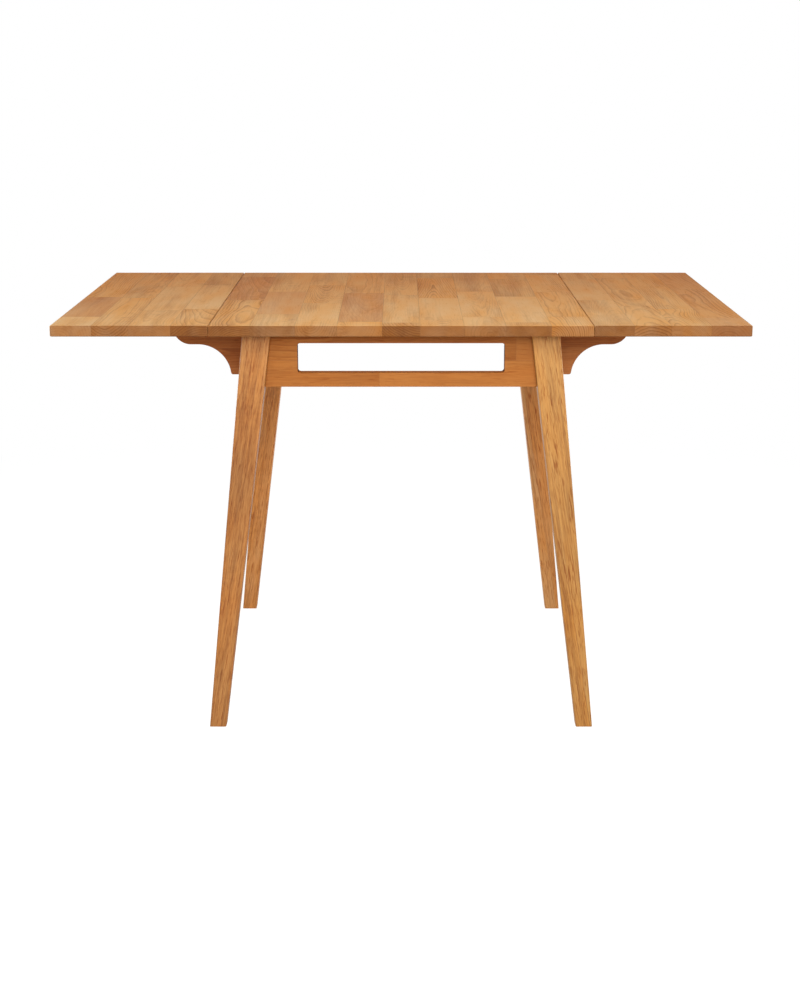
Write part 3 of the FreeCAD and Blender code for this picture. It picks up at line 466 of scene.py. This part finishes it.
wingSettings = {
    "firstSeed": 91.0,
    "easing": 0.0012,
    "look": {**railSettings["look"], "Block length": 3.0, "Ring gap": 0.0046, "Ring depth": 0.4,
             "Pale": (0.40, 0.155, 0.047, 1), "Deep": (0.21, 0.062, 0.016, 1), "Red": (0.26, 0.074, 0.022, 1)},
}


def finishRails(settings, grains, firstSeed):
    for number, (name, grain) in enumerate(grains.items()):
        low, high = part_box(name)
        corner = ((low.x + high.x) / 2, (low.y + high.y) / 2, low.z)
        finishWood(name, settings["look"], (0, 0, 1), grain, corner, firstSeed + number, settings["easing"])


lengthwise = (1, 0, 0)
crosswise = (0, 1, 0)
corners = ("front_left", "front_right", "back_left", "back_right")
finishRails(railSettings, {"apron_front": lengthwise, "apron_back": lengthwise,
                           "end_apron_left": crosswise, "end_apron_right": crosswise,
                           "cleat_front": lengthwise, "cleat_back": lengthwise,
                           "cleat_left": crosswise, "cleat_right": crosswise}, railSettings["firstSeed"])
finishRails(railSettings, {f"corner_block_{c}": (1, 1 if c in ("front_right", "back_left") else -1, 0)
                           for c in corners}, railSettings["blockSeed"])
finishRails(wingSettings, {f"wing_{c}": lengthwise for c in corners}, wingSettings["firstSeed"])
print("aprons, blocks and wings finished")


# zinc-plated steel of the screws, bolts and hinges

steelSettings = {
    "color": (0.56, 0.54, 0.49, 1),
    "dull": 0.78,                      # how dark the plating's dull blotches are beside the rest
    "roughness": 0.34,
    "blotches": 160.0,                 # waves per metre
    "scratches": (2200.0, 300.0, 300.0),
    "relief": 0.0001,                  # m
}


def steelMaterial(settings):
    material = bpy.data.materials.new("zincSteel")
    material.use_nodes = True
    tree = material.node_tree
    shader = tree.nodes["Principled BSDF"]
    coords = tree.nodes.new("ShaderNodeTexCoord").outputs["Object"]
    blotch = noise(tree, coords, settings["blotches"], 3.0)
    scratch = noise(tree, vectorCalc(tree, "MULTIPLY", coords, settings["scratches"]))
    dull = tuple(settings["dull"] * channel for channel in settings["color"][:3]) + (1,)
    color = mixColors(tree, remap(tree, blotch, 0.35, 0.7), settings["color"], dull)
    rough = calc(tree, "ADD", calc(tree, "MULTIPLY_ADD", blotch, 0.18, settings["roughness"] - 0.09),
                 calc(tree, "MULTIPLY", scratch, 0.06))
    bump = addNode(tree, "ShaderNodeBump", {"Strength": 0.12, "Distance": settings["relief"], "Height": scratch})
    feed(tree, shader.inputs["Base Color"], color)
    feed(tree, shader.inputs["Roughness"], rough)
    feed(tree, shader.inputs["Normal"], bump.outputs["Normal"])
    shader.inputs["Metallic"].default_value = 1.0
    return material


steel = steelMaterial(steelSettings)


# screws, bolts and hinges grow in Geometry Nodes, in millimetres, and stand where the frame has them

def newTree(name, inputs):
    tree = bpy.data.node_groups.new(name, "GeometryNodeTree")
    tree.is_modifier = True
    tree.interface.new_socket("Geometry", in_out="INPUT", socket_type="NodeSocketGeometry")
    for socketName, kind in inputs:
        tree.interface.new_socket(socketName, in_out="INPUT", socket_type="NodeSocket" + kind)
    tree.interface.new_socket("Geometry", in_out="OUTPUT", socket_type="NodeSocketGeometry")
    return tree, tree.nodes.new("NodeGroupInput").outputs, tree.nodes.new("NodeGroupOutput").inputs["Geometry"]


def turned(tree, profile, sides=32):
    # a round part on the Z axis, from the level and radius of each step
    line = addNode(tree, "GeometryNodeMeshLine", {"Count": len(profile)})
    curve = addNode(tree, "GeometryNodeMeshToCurve", {"Mesh": line.outputs["Mesh"]})
    index = tree.nodes.new("GeometryNodeInputIndex").outputs["Index"]

    def pick(values):
        switch = addNode(tree, "GeometryNodeIndexSwitch", data_type="FLOAT")
        while len(switch.index_switch_items) < len(values):
            switch.index_switch_items.new()
        feed(tree, switch.inputs["Index"], index)
        for number, value in enumerate(values):
            feed(tree, switch.inputs[number + 1], value)
        return switch.outputs["Output"]

    levels, radii = zip(*profile)
    spine = addNode(tree, "GeometryNodeSetPosition", {"Geometry": curve.outputs["Curve"],
                                                      "Position": joinVector(tree, z=pick(levels))})
    circle = addNode(tree, "GeometryNodeCurvePrimitiveCircle", {"Resolution": sides, "Radius": 1.0})
    return addNode(tree, "GeometryNodeCurveToMesh",
                   {"Curve": spine.outputs["Geometry"], "Profile Curve": circle.outputs["Curve"],
                    "Scale": pick(radii), "Fill Caps": True}).outputs["Mesh"]


def easedRod(tree, half, radius, ease, sides=32):
    # a round rod with its middle at the origin and its ends eased
    straight, tip = calc(tree, "SUBTRACT", half, ease), calc(tree, "SUBTRACT", radius, ease)
    return turned(tree, [(calc(tree, "MULTIPLY", half, -1.0), tip),
                         (calc(tree, "MULTIPLY", straight, -1.0), radius), (straight, radius), (half, tip)], sides)


def boreThrough(tree, height, radius):
    spare = 1.0                        # past each face, so that the cut is clean
    return turned(tree, [(-spare, radius), (calc(tree, "ADD", height, spare), radius)], 48)


def thread(tree, low, high, radius, pitch, depth):
    span = calc(tree, "SUBTRACT", high, low)
    spiral = addNode(tree, "GeometryNodeCurveSpiral",
                     {"Resolution": 12, "Rotations": calc(tree, "DIVIDE", span, pitch), "Start Radius": radius,
                      "End Radius": radius, "Height": span})
    ridge = addNode(tree, "GeometryNodeCurvePrimitiveCircle", {"Resolution": 3, "Radius": depth})
    wound = addNode(tree, "GeometryNodeCurveToMesh",
                    {"Curve": spiral.outputs["Curve"], "Profile Curve": ridge.outputs["Curve"], "Fill Caps": True})
    return moved(tree, wound.outputs["Mesh"], joinVector(tree, z=low))


def moved(tree, shape, place=None, turn=None, scale=None):
    return addNode(tree, "GeometryNodeTransform", {"Geometry": shape, "Translation": place, "Rotation": turn,
                                                   "Scale": scale}).outputs["Geometry"]


def joined(tree, *shapes):
    node = tree.nodes.new("GeometryNodeJoinGeometry")
    for shape in shapes:
        tree.links.new(shape, node.inputs["Geometry"])
    return node.outputs["Geometry"]


def carved(tree, operation, shape, *tools):
    node = addNode(tree, "GeometryNodeMeshBoolean", operation=operation, solver="EXACT")
    if operation == "DIFFERENCE":
        tree.links.new(shape, node.inputs["Mesh 1"])
    else:
        tools = (shape,) + tools
    for tool in tools:
        tree.links.new(tool, node.inputs["Mesh 2"])
    return node.outputs["Mesh"]


def inRow(tree, shape, count, start, step, turn=None):
    line = addNode(tree, "GeometryNodeMeshLine", {"Count": count, "Start Location": start, "Offset": step})
    row = addNode(tree, "GeometryNodeInstanceOnPoints", {"Points": line.outputs["Mesh"], "Instance": shape,
                                                         "Rotation": turn})
    solid = addNode(tree, "GeometryNodeRealizeInstances", {"Geometry": row.outputs["Instances"]})
    return solid.outputs["Geometry"]


def standOnSpots(tree, given, made, shape, spun=True):
    # one copy at each spot, turned as the spot says and spun by chance about its own axis
    turn = addNode(tree, "GeometryNodeInputNamedAttribute", {"Name": "turn"}, data_type="FLOAT_VECTOR")
    facing = addNode(tree, "FunctionNodeEulerToRotation", {"Euler": turn.outputs["Attribute"]}).outputs["Rotation"]
    if spun:
        chance = addNode(tree, "FunctionNodeRandomValue", {"Seed": given["Seed"]}, data_type="FLOAT")
        spin = joinVector(tree, z=calc(tree, "MULTIPLY", chance.outputs[1], math.tau))
        spin = addNode(tree, "FunctionNodeEulerToRotation", {"Euler": spin}).outputs["Rotation"]
        facing = addNode(tree, "FunctionNodeRotateRotation", {"Rotation": facing, "Rotate By": spin},
                         rotation_space="LOCAL").outputs["Rotation"]
    copies = addNode(tree, "GeometryNodeInstanceOnPoints",
                     {"Points": given["Geometry"], "Instance": shape, "Rotation": facing,
                      "Scale": (0.001, 0.001, 0.001)})
    solid = addNode(tree, "GeometryNodeRealizeInstances", {"Geometry": copies.outputs["Instances"]})
    finish = addNode(tree, "GeometryNodeSetMaterial", {"Geometry": solid.outputs["Geometry"], "Material": steel})
    tree.links.new(finish.outputs["Geometry"], made)
    return tree


def makeScrewTree():
    names = ("Head radius", "Head height", "Shank radius", "Length", "Pitch")
    tree, given, made = newTree("countersunkScrew", [(name, "Float") for name in names] + [("Seed", "Int")])
    head, headHeight, shank, length, pitch = (given[name] for name in names)
    rim, neck, tip = 0.1, 0.8, 3.0     # mm
    core = calc(tree, "MULTIPLY", shank, 0.7)
    body = turned(tree, [(0.0, calc(tree, "SUBTRACT", head, rim)), (rim, head), (headHeight, shank),
                         (calc(tree, "ADD", headHeight, neck), core), (calc(tree, "SUBTRACT", length, tip), core),
                         (length, 0.1)])

    # crossed recess
    reach = calc(tree, "MULTIPLY", head, 0.62)
    blade = addNode(tree, "GeometryNodeMeshCone",
                    {"Vertices": 4, "Radius Bottom": reach, "Radius Top": calc(tree, "MULTIPLY", reach, 0.4),
                     "Depth": calc(tree, "MULTIPLY", head, 0.6)}).outputs["Mesh"]
    blade = moved(tree, blade, (0, 0, -0.05), None, (1, 0.3, 1))
    crossed = moved(tree, blade, None, (0, 0, math.pi / 2))
    body = carved(tree, "DIFFERENCE", body, blade, crossed)
    ridge = thread(tree, calc(tree, "ADD", headHeight, 1.2), calc(tree, "SUBTRACT", length, 1.8), core, pitch,
                   calc(tree, "SUBTRACT", shank, core))
    return standOnSpots(tree, given, made, joined(tree, body, ridge))


def makeBoltTree():
    # a machine thread for the nut, a plain shank, and a coarse thread for the leg
    names = ("Radius", "Length", "Pitch", "Thread length")
    tree, given, made = newTree("hangerBolt", [(name, "Float") for name in names] + [("Seed", "Int")])
    radius, length, pitch, threadLength = (given[name] for name in names)
    woodLength, step, tip, coarser = 28.0, 1.0, 5.0, 2.4
    core = calc(tree, "MULTIPLY", radius, 0.86)
    woodFrom = calc(tree, "SUBTRACT", length, woodLength)
    body = turned(tree, [(0.0, calc(tree, "SUBTRACT", core, 0.7)), (0.8, core), (threadLength, core),
                         (calc(tree, "ADD", threadLength, step), radius), (woodFrom, radius),
                         (calc(tree, "ADD", woodFrom, step), core), (calc(tree, "SUBTRACT", length, tip), core),
                         (length, 0.3)])
    depth = calc(tree, "SUBTRACT", radius, core)
    machine = thread(tree, 0.9, threadLength, core, pitch, depth)
    wood = thread(tree, calc(tree, "ADD", woodFrom, 2.0), calc(tree, "SUBTRACT", length, 3.0), core,
                  calc(tree, "MULTIPLY", pitch, coarser), depth)
    return standOnSpots(tree, given, made, joined(tree, body, machine, wood))


def makeNutTree():
    tree, given, made = newTree("hexNut", [("Radius", "Float"), ("Height", "Float"), ("Bore", "Float"),
                                           ("Seed", "Int")])
    radius, height, bore = given["Radius"], given["Height"], given["Bore"]
    blank = addNode(tree, "GeometryNodeMeshCylinder", {"Vertices": 6, "Radius": radius, "Depth": height})
    blank = moved(tree, blank.outputs["Mesh"], joinVector(tree, z=calc(tree, "MULTIPLY", height, 0.5)))
    inner = calc(tree, "MULTIPLY", radius, 0.9)
    outer = calc(tree, "MULTIPLY", radius, 1.02)
    rim = calc(tree, "MULTIPLY", radius, 0.07)
    chamfers = turned(tree, [(-0.001, inner), (rim, outer), (calc(tree, "SUBTRACT", height, rim), outer),
                             (calc(tree, "ADD", height, 0.001), inner)], 48)
    nut = carved(tree, "DIFFERENCE", carved(tree, "INTERSECT", blank, chamfers), boreThrough(tree, height, bore))
    return standOnSpots(tree, given, made, nut)


def makeWasherTree():
    tree, given, made = newTree("flatWasher", [("Radius", "Float"), ("Height", "Float"), ("Bore", "Float"),
                                               ("Seed", "Int")])
    radius, height, bore = given["Radius"], given["Height"], given["Bore"]
    rim = 0.2                          # mm
    edge = calc(tree, "SUBTRACT", radius, rim)
    disc = turned(tree, [(0.0, edge), (rim, radius), (calc(tree, "SUBTRACT", height, rim), radius),
                         (height, edge)], 48)
    return standOnSpots(tree, given, made, carved(tree, "DIFFERENCE", disc, boreThrough(tree, height, bore)))


def makePlateTree():
    # one plate of a butt hinge: X away from the pin, Z along it, the wood on the -Y side
    names = ("Height", "Width", "Thickness", "Knuckle", "Gap", "Knuckles", "First", "Pin", "Screw pitch",
             "Screw inset", "Screw head", "Screw shank", "Corner")
    tree, given, made = newTree("hingePlate", [(name, "Float") for name in names])
    (height, width, thickness, knuckle, gap, knuckles, first, pin, pitch, inset, head, shank,
     corner) = (given[name] for name in names)
    offset = calc(tree, "ADD", knuckle, gap)
    step = calc(tree, "DIVIDE", height, knuckles)
    lowest = calc(tree, "MULTIPLY", height, -0.5)

    # flat blank with round corners, cut off square at the pin's axis
    spare = 6.0                        # mm past the axis
    outline = addNode(tree, "GeometryNodeCurvePrimitiveQuadrilateral",
                      {"Width": calc(tree, "ADD", width, spare), "Height": height})
    rounded = addNode(tree, "GeometryNodeFilletCurve", {"Curve": outline.outputs["Curve"], "Count": 6,
                                                        "Radius": corner}, mode="POLY")
    face = addNode(tree, "GeometryNodeFillCurve", {"Curve": rounded.outputs["Curve"]}, mode="NGONS")
    raised = addNode(tree, "GeometryNodeExtrudeMesh", {"Mesh": face.outputs["Mesh"], "Offset Scale": thickness,
                                                       "Individual": False})
    back = addNode(tree, "GeometryNodeFlipFaces", {"Mesh": face.outputs["Mesh"]})
    blank = addNode(tree, "GeometryNodeMergeByDistance",
                    {"Geometry": joined(tree, raised.outputs["Mesh"], back.outputs["Mesh"]), "Distance": 0.01})
    middle = calc(tree, "MULTIPLY", calc(tree, "SUBTRACT", width, spare), 0.5)
    woodFace = calc(tree, "SUBTRACT", thickness, offset)
    blank = moved(tree, blank.outputs["Geometry"], joinVector(tree, middle, woodFace), (math.pi / 2, 0, 0))
    square = addNode(tree, "GeometryNodeMeshCube",
                     {"Size": joinVector(tree, 20.0, 20.0, calc(tree, "ADD", height, 9.0))})
    square = moved(tree, square.outputs["Mesh"], (-10, 0, 0))

    # room for the other plate's knuckles, and two countersunk holes
    def rowOf(shape, number):
        count = calc(tree, "CEIL", calc(tree, "DIVIDE", calc(tree, "SUBTRACT", knuckles, number), 2.0))
        start = calc(tree, "MULTIPLY_ADD", calc(tree, "ADD", number, 0.5), step, lowest)
        return inRow(tree, shape, count, joinVector(tree, z=start),
                     joinVector(tree, z=calc(tree, "MULTIPLY", step, 2.0)))

    around = calc(tree, "MULTIPLY", calc(tree, "ADD", offset, gap), 2.0)
    notch = addNode(tree, "GeometryNodeMeshCube", {"Size": joinVector(tree, around, around,
                                                                      calc(tree, "ADD", step, gap))})
    notches = rowOf(notch.outputs["Mesh"], calc(tree, "SUBTRACT", 1.0, first))
    sink = turned(tree, [(-0.2, calc(tree, "ADD", head, 0.25)), (calc(tree, "ADD", thickness, 0.2), shank)])
    sinks = inRow(tree, sink, 2, joinVector(tree, calc(tree, "SUBTRACT", width, inset), woodFace,
                                            calc(tree, "MULTIPLY", pitch, -0.5)),
                  joinVector(tree, z=pitch), (math.pi / 2, 0, 0))
    leaf = carved(tree, "DIFFERENCE", blank, square, notches, sinks)

    # its own knuckles, bored for the pin
    barrel = easedRod(tree, calc(tree, "MULTIPLY", calc(tree, "SUBTRACT", step, gap), 0.5), knuckle, 0.25, 40)
    hole = turned(tree, [(calc(tree, "MULTIPLY", height, -1.0), pin), (height, pin)], 40)
    plate = carved(tree, "DIFFERENCE", carved(tree, "UNION", leaf, rowOf(barrel, first)), hole)
    return standOnSpots(tree, given, made, plate, spun=False)


def makePinTree():
    tree, given, made = newTree("hingePin", [("Radius", "Float"), ("Height", "Float")])
    pin = easedRod(tree, calc(tree, "MULTIPLY", given["Height"], 0.5), given["Radius"], 0.4)
    return standOnSpots(tree, given, made, pin, spun=False)


screwTree, boltTree, nutTree = makeScrewTree(), makeBoltTree(), makeNutTree()
washerTree, plateTree, pinTree = makeWasherTree(), makePlateTree(), makePinTree()


def solidBoxes(name):
    # lowest and highest corner of every separate solid in a node
    shape = bmesh.new()
    shape.from_mesh(nodes[name].data)
    bmesh.ops.remove_doubles(shape, verts=shape.verts, dist=onePoint)
    shape.verts.index_update()
    seen, boxes = set(), []
    for start in shape.verts:
        if start.index in seen:
            continue
        seen.add(start.index)
        island, waiting = [start.co.copy()], [start]
        while waiting:
            for edge in waiting.pop().link_edges:
                for vert in edge.verts:
                    if vert.index not in seen:
                        seen.add(vert.index)
                        waiting.append(vert)
                        island.append(vert.co.copy())
        boxes.append((Vector(map(min, zip(*island))), Vector(map(max, zip(*island)))))
    shape.free()
    return sorted(boxes, key=lambda box: tuple(round(value, 4) for value in box[0]))


def spotFacing(place, direction):
    return place, Vector(direction).to_track_quat("Z", "Y").to_euler()


def growHardware(name, tree, spots, settings, body, *replaced):
    mesh = bpy.data.meshes.new(name)
    mesh.from_pydata([place for place, turn in spots], [], [])
    turns = mesh.attributes.new("turn", "FLOAT_VECTOR", "POINT")
    turns.data.foreach_set("vector", [value for place, turn in spots for value in turn])
    piece = bpy.data.objects.new(name, mesh)
    bpy.context.scene.collection.objects.link(piece)
    modifier = piece.modifiers.new("grow", "NODES")
    modifier.node_group = tree
    for item in tree.interface.items_tree:
        if item.in_out == "INPUT" and item.name in settings:
            modifier[item.identifier] = settings[item.name]
    bpy.context.view_layer.update()
    grown = bpy.data.meshes.new_from_object(piece.evaluated_get(bpy.context.evaluated_depsgraph_get()))
    piece.modifiers.remove(modifier)
    piece.data = grown
    bpy.data.meshes.remove(mesh)
    shape = bmesh.new()
    shape.from_mesh(grown)
    seam = 0.000002                    # m, finer than onePoint, so that the threads stay
    bmesh.ops.remove_doubles(shape, verts=shape.verts, dist=seam)
    bmesh.ops.recalc_face_normals(shape, faces=shape.faces)
    shape.to_mesh(grown)
    shape.free()
    grown.shade_smooth()
    grown.set_sharp_from_angle(angle=math.radians(35))
    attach(piece, body)
    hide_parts(*replaced)
    print(f"{name}: {len(spots)} placed, {len(grown.polygons)} faces")


boltSettings = {
    "bolt": {"Radius": 4.0, "Length": 69.0, "Pitch": 1.25, "Thread length": 24.0, "Seed": 3},
    "washer": {"Radius": 8.0, "Height": 1.6, "Bore": 4.2, "Seed": 4},
    "nut": {"Radius": 7.5, "Height": 6.5, "Bore": 3.7, "Seed": 5},
    "blockScrew": {"Head radius": 3.8, "Head height": 2.2, "Shank radius": 2.0, "Length": 20.0, "Pitch": 1.8,
                   "Seed": 6},
    "topScrew": {"Head radius": 3.8, "Head height": 2.2, "Shank radius": 2.0, "Length": 31.0, "Pitch": 1.8,
                 "Seed": 7},
}


def makeBolts(settings):
    def towardsLeg(middle, size):
        return Vector((math.copysign(1, middle.x), math.copysign(1, middle.y), 0)).normalized()

    def alongScrew(middle, size):
        axis = max(range(3), key=lambda number: size[number])
        direction = Vector((0, 0, 0))
        direction[axis] = math.copysign(1, middle[axis])
        return direction

    for name, node, tree, size, length, aim in (
            ("bolts", "hanger_bolts", boltTree, settings["bolt"], "Length", towardsLeg),
            ("washers", "bolt_washers", washerTree, settings["washer"], "Height", towardsLeg),
            ("nuts", "bolt_nuts", nutTree, settings["nut"], "Height", towardsLeg),
            ("blockScrews", "corner_block_screws", screwTree, settings["blockScrew"], "Length", alongScrew),
            ("topScrews", "top_screws", screwTree, settings["topScrew"], "Length", alongScrew)):
        spots = []
        for low, high in solidBoxes(node):
            middle = (low + high) / 2
            direction = aim(middle, high - low)
            spots.append(spotFacing(middle - direction * size[length] / 2000, direction))
        growHardware(name, tree, spots, size, "frame", node)


hingeSettings = {
    "wing": {"Height": 64.0, "Width": 22.0, "Thickness": 1.6, "Knuckles": 5.0, "Screw pitch": 38.0,
             "Screw inset": 9.0},
    "leaf": {"Height": 44.0, "Width": 30.0, "Thickness": 1.8, "Knuckles": 3.0, "Screw pitch": 26.0,
             "Screw inset": 11.0},
    "shared": {"Knuckle": 3.2, "Gap": 0.2, "Pin": 1.55, "Screw head": 3.25, "Screw shank": 1.65, "Corner": 2.5},
    "pinRadius": 1.5,
    "screw": {"Head radius": 3.2, "Shank radius": 1.6, "Length": 14.0, "Pitch": 1.4, "Seed": 8},
}


def turnedFrame(place, across, out):
    # a hinge plate at its pin's middle: `across` the way it spreads, `out` away from the wood
    across, out = Vector(across), Vector(out)
    return place, Matrix((across, out, across.cross(out))).transposed()


def growHinge(stem, size, frames, first, body, plateNode, screwNode):
    settings = {**hingeSettings["shared"], **size, "First": first}
    growHardware(f"{stem}Plate", plateTree, [(place, turn.to_euler()) for place, turn in frames], settings, body,
                 plateNode)
    offset = settings["Knuckle"] + settings["Gap"]
    spots = []
    for place, turn in frames:
        for side in (-1, 1):
            spot = Vector((size["Width"] - size["Screw inset"], size["Thickness"] - offset,
                           side * size["Screw pitch"] / 2)) / 1000
            spots.append(spotFacing(place + turn @ spot, turn @ Vector((0, -1, 0))))
    growHardware(f"{stem}Screws", screwTree, spots, {**hingeSettings["screw"], "Head height": size["Thickness"]},
                 body, screwNode)


def makeHinges(settings):
    wingPins = [(low + high) / 2 for low, high in solidBoxes("wing_hinge_pins")]
    leafPins = [(low + high) / 2 for low, high in solidBoxes("leaf_hinge_pins")]
    upright = Vector((0, 0, 0))
    lying = Vector((math.pi / 2, 0, 0))
    for name, node, size, pins, turn in (("wingPins", "wing_hinge_pins", settings["wing"], wingPins, upright),
                                         ("leafPins", "leaf_hinge_pins", settings["leaf"], leafPins, lying)):
        growHardware(name, pinTree, [(pin, turn) for pin in pins],
                     {"Radius": settings["pinRadius"], "Height": size["Height"]}, "frame", node)

    def side(value):
        return math.copysign(1, value)

    growHinge("wingHingeApron", settings["wing"],
              [turnedFrame(pin, (0, -side(pin.y), 0), (side(pin.x), 0, 0)) for pin in wingPins], 0.0, "frame",
              "wing_hinge_fixed_plates", "wing_hinge_apron_screws")
    for pin in wingPins:
        corner = f"{'front' if pin.y < 0 else 'back'}_{'left' if pin.x < 0 else 'right'}"
        growHinge(f"wingHinge_{corner}", settings["wing"],
                  [turnedFrame(pin, (side(pin.x), 0, 0), (0, -side(pin.y), 0))], 1.0, f"wing_{corner}",
                  f"wing_hinge_plate_{corner}", f"wing_hinge_screws_{corner}")
    growHinge("leafHingeCentre", settings["leaf"],
              [turnedFrame(pin, (-side(pin.x), 0, 0), (0, 0, -1)) for pin in leafPins], 0.0, "frame",
              "leaf_hinge_centre_plates", "leaf_hinge_centre_screws")
    for name, way in (("left", -1), ("right", 1)):
        growHinge(f"leafHinge_{name}", settings["leaf"],
                  [turnedFrame(pin, (way, 0, 0), (0, 0, -1)) for pin in leafPins if pin.x * way > 0], 1.0,
                  f"leaf_{name}", f"leaf_hinge_plates_{name}", f"leaf_hinge_screws_{name}")


makeBolts(boltSettings)
makeHinges(hingeSettings)
print("bolts, screws and hinges made")


# pale floor that runs on into a white surround, and soft light from in front, above and both sides

studioSettings = {
    "floorSize": 40.0,                 # m
    "floorColor": (0.62, 0.62, 0.62, 1),    # as the table sees the floor
    "shownColor": (0.32, 0.32, 0.32, 1),    # as it is shown, with its own glow
    "shownGlow": 0.86,
    "nearGlow": 0.10,                  # how brightly the floor lights the table, near and far
    "farGlow": 0.90,
    "fade": (0.6, 2.2),                # m from the middle, where the near floor turns into the far one
    "surround": 0.28,                  # how brightly the room lights the table
    "backWall": 0.62,                  # how much brighter the wall behind is
    "wallSides": (0.3, 0.9),
    "wallHeight": (0.5, 0.1),
    "softboxes": {                     # m and W
        "front": {"place": (0.6, -8.0, 3.4), "aim": (0, 0, 0.5), "size": (4.0, 2.4), "power": 420},
        "overhead": {"place": (0, -1.8, 2.2), "aim": (0, -0.15, 0.7), "size": (1.2, 0.9), "power": 30},
        "sideLeft": {"place": (-3.6, 1.6, 0.65), "aim": (0, 0, 0.5), "size": (1.4, 1.1), "power": 80},
        "sideRight": {"place": (3.6, 1.6, 0.65), "aim": (0, 0, 0.5), "size": (1.4, 1.1), "power": 80},
    },
}


def blendShaders(tree, factor, first, second):
    node = addNode(tree, "ShaderNodeMixShader", {"Fac": factor})
    tree.links.new(first.outputs[0], node.inputs[1])
    tree.links.new(second.outputs[0], node.inputs[2])
    return node


def makeFloor(settings):
    half = settings["floorSize"] / 2
    mesh = bpy.data.meshes.new("floor")
    mesh.from_pydata([(-half, -half, 0), (half, -half, 0), (half, half, 0), (-half, half, 0)], [], [(0, 1, 2, 3)])
    floor = bpy.data.objects.new("floor", mesh)
    bpy.context.scene.collection.objects.link(floor)
    material = bpy.data.materials.new("paleFloor")
    material.use_nodes = True
    tree = material.node_tree
    tree.nodes.clear()
    away = vectorCalc(tree, "LENGTH", tree.nodes.new("ShaderNodeTexCoord").outputs["Object"])
    seen = tree.nodes.new("ShaderNodeLightPath").outputs["Is Camera Ray"]
    matteColor = mixColors(tree, seen, settings["floorColor"], settings["shownColor"])
    matte = addNode(tree, "ShaderNodeBsdfDiffuse", {"Color": matteColor})
    glow = addNode(tree, "ShaderNodeEmission", {"Strength": spread(tree, seen, settings["nearGlow"],
                                                                   settings["shownGlow"])})
    near = tree.nodes.new("ShaderNodeAddShader")
    tree.links.new(matte.outputs[0], near.inputs[0])
    tree.links.new(glow.outputs[0], near.inputs[1])
    far = addNode(tree, "ShaderNodeEmission", {"Strength": spread(tree, seen, settings["farGlow"], 1.0)})
    blend = blendShaders(tree, remap(tree, away, *settings["fade"]), near, far)
    underneath = tree.nodes.new("ShaderNodeNewGeometry").outputs["Backfacing"]
    oneSided = blendShaders(tree, underneath, blend, tree.nodes.new("ShaderNodeBsdfTransparent"))
    out = tree.nodes.new("ShaderNodeOutputMaterial")
    tree.links.new(oneSided.outputs[0], out.inputs["Surface"])
    mesh.materials.append(material)


def makeSurround(settings):
    # a dim room with a brighter wall behind, shown white
    world = bpy.data.worlds.new("whiteSurround")
    bpy.context.scene.world = world
    world.use_nodes = True
    tree = world.node_tree
    background = tree.nodes["Background"]
    background.inputs["Color"].default_value = (1, 1, 1, 1)
    y, z = split(tree, tree.nodes.new("ShaderNodeTexCoord").outputs["Generated"])[1:]
    wall = calc(tree, "MULTIPLY", remap(tree, y, *settings["wallSides"]), remap(tree, z, *settings["wallHeight"]))
    room = calc(tree, "MULTIPLY_ADD", wall, settings["backWall"], settings["surround"])
    seen = tree.nodes.new("ShaderNodeLightPath").outputs["Is Camera Ray"]
    feed(tree, background.inputs["Strength"], calc(tree, "MAXIMUM", seen, room))


def makeSoftbox(name, settings):
    data = bpy.data.lights.new(name, "AREA")
    data.shape = "RECTANGLE"
    data.size, data.size_y = settings["size"]
    data.energy = settings["power"]
    light = bpy.data.objects.new(name, data)
    light.location = settings["place"]
    aim = Vector(settings["aim"]) - light.location
    light.rotation_euler = aim.to_track_quat("-Z", "Y").to_euler()
    bpy.context.scene.collection.objects.link(light)


makeFloor(studioSettings)
makeSurround(studioSettings)
for name, softbox in studioSettings["softboxes"].items():
    makeSoftbox(name, softbox)
bpy.context.scene.view_settings.view_transform = "Standard"
print("studio ready")
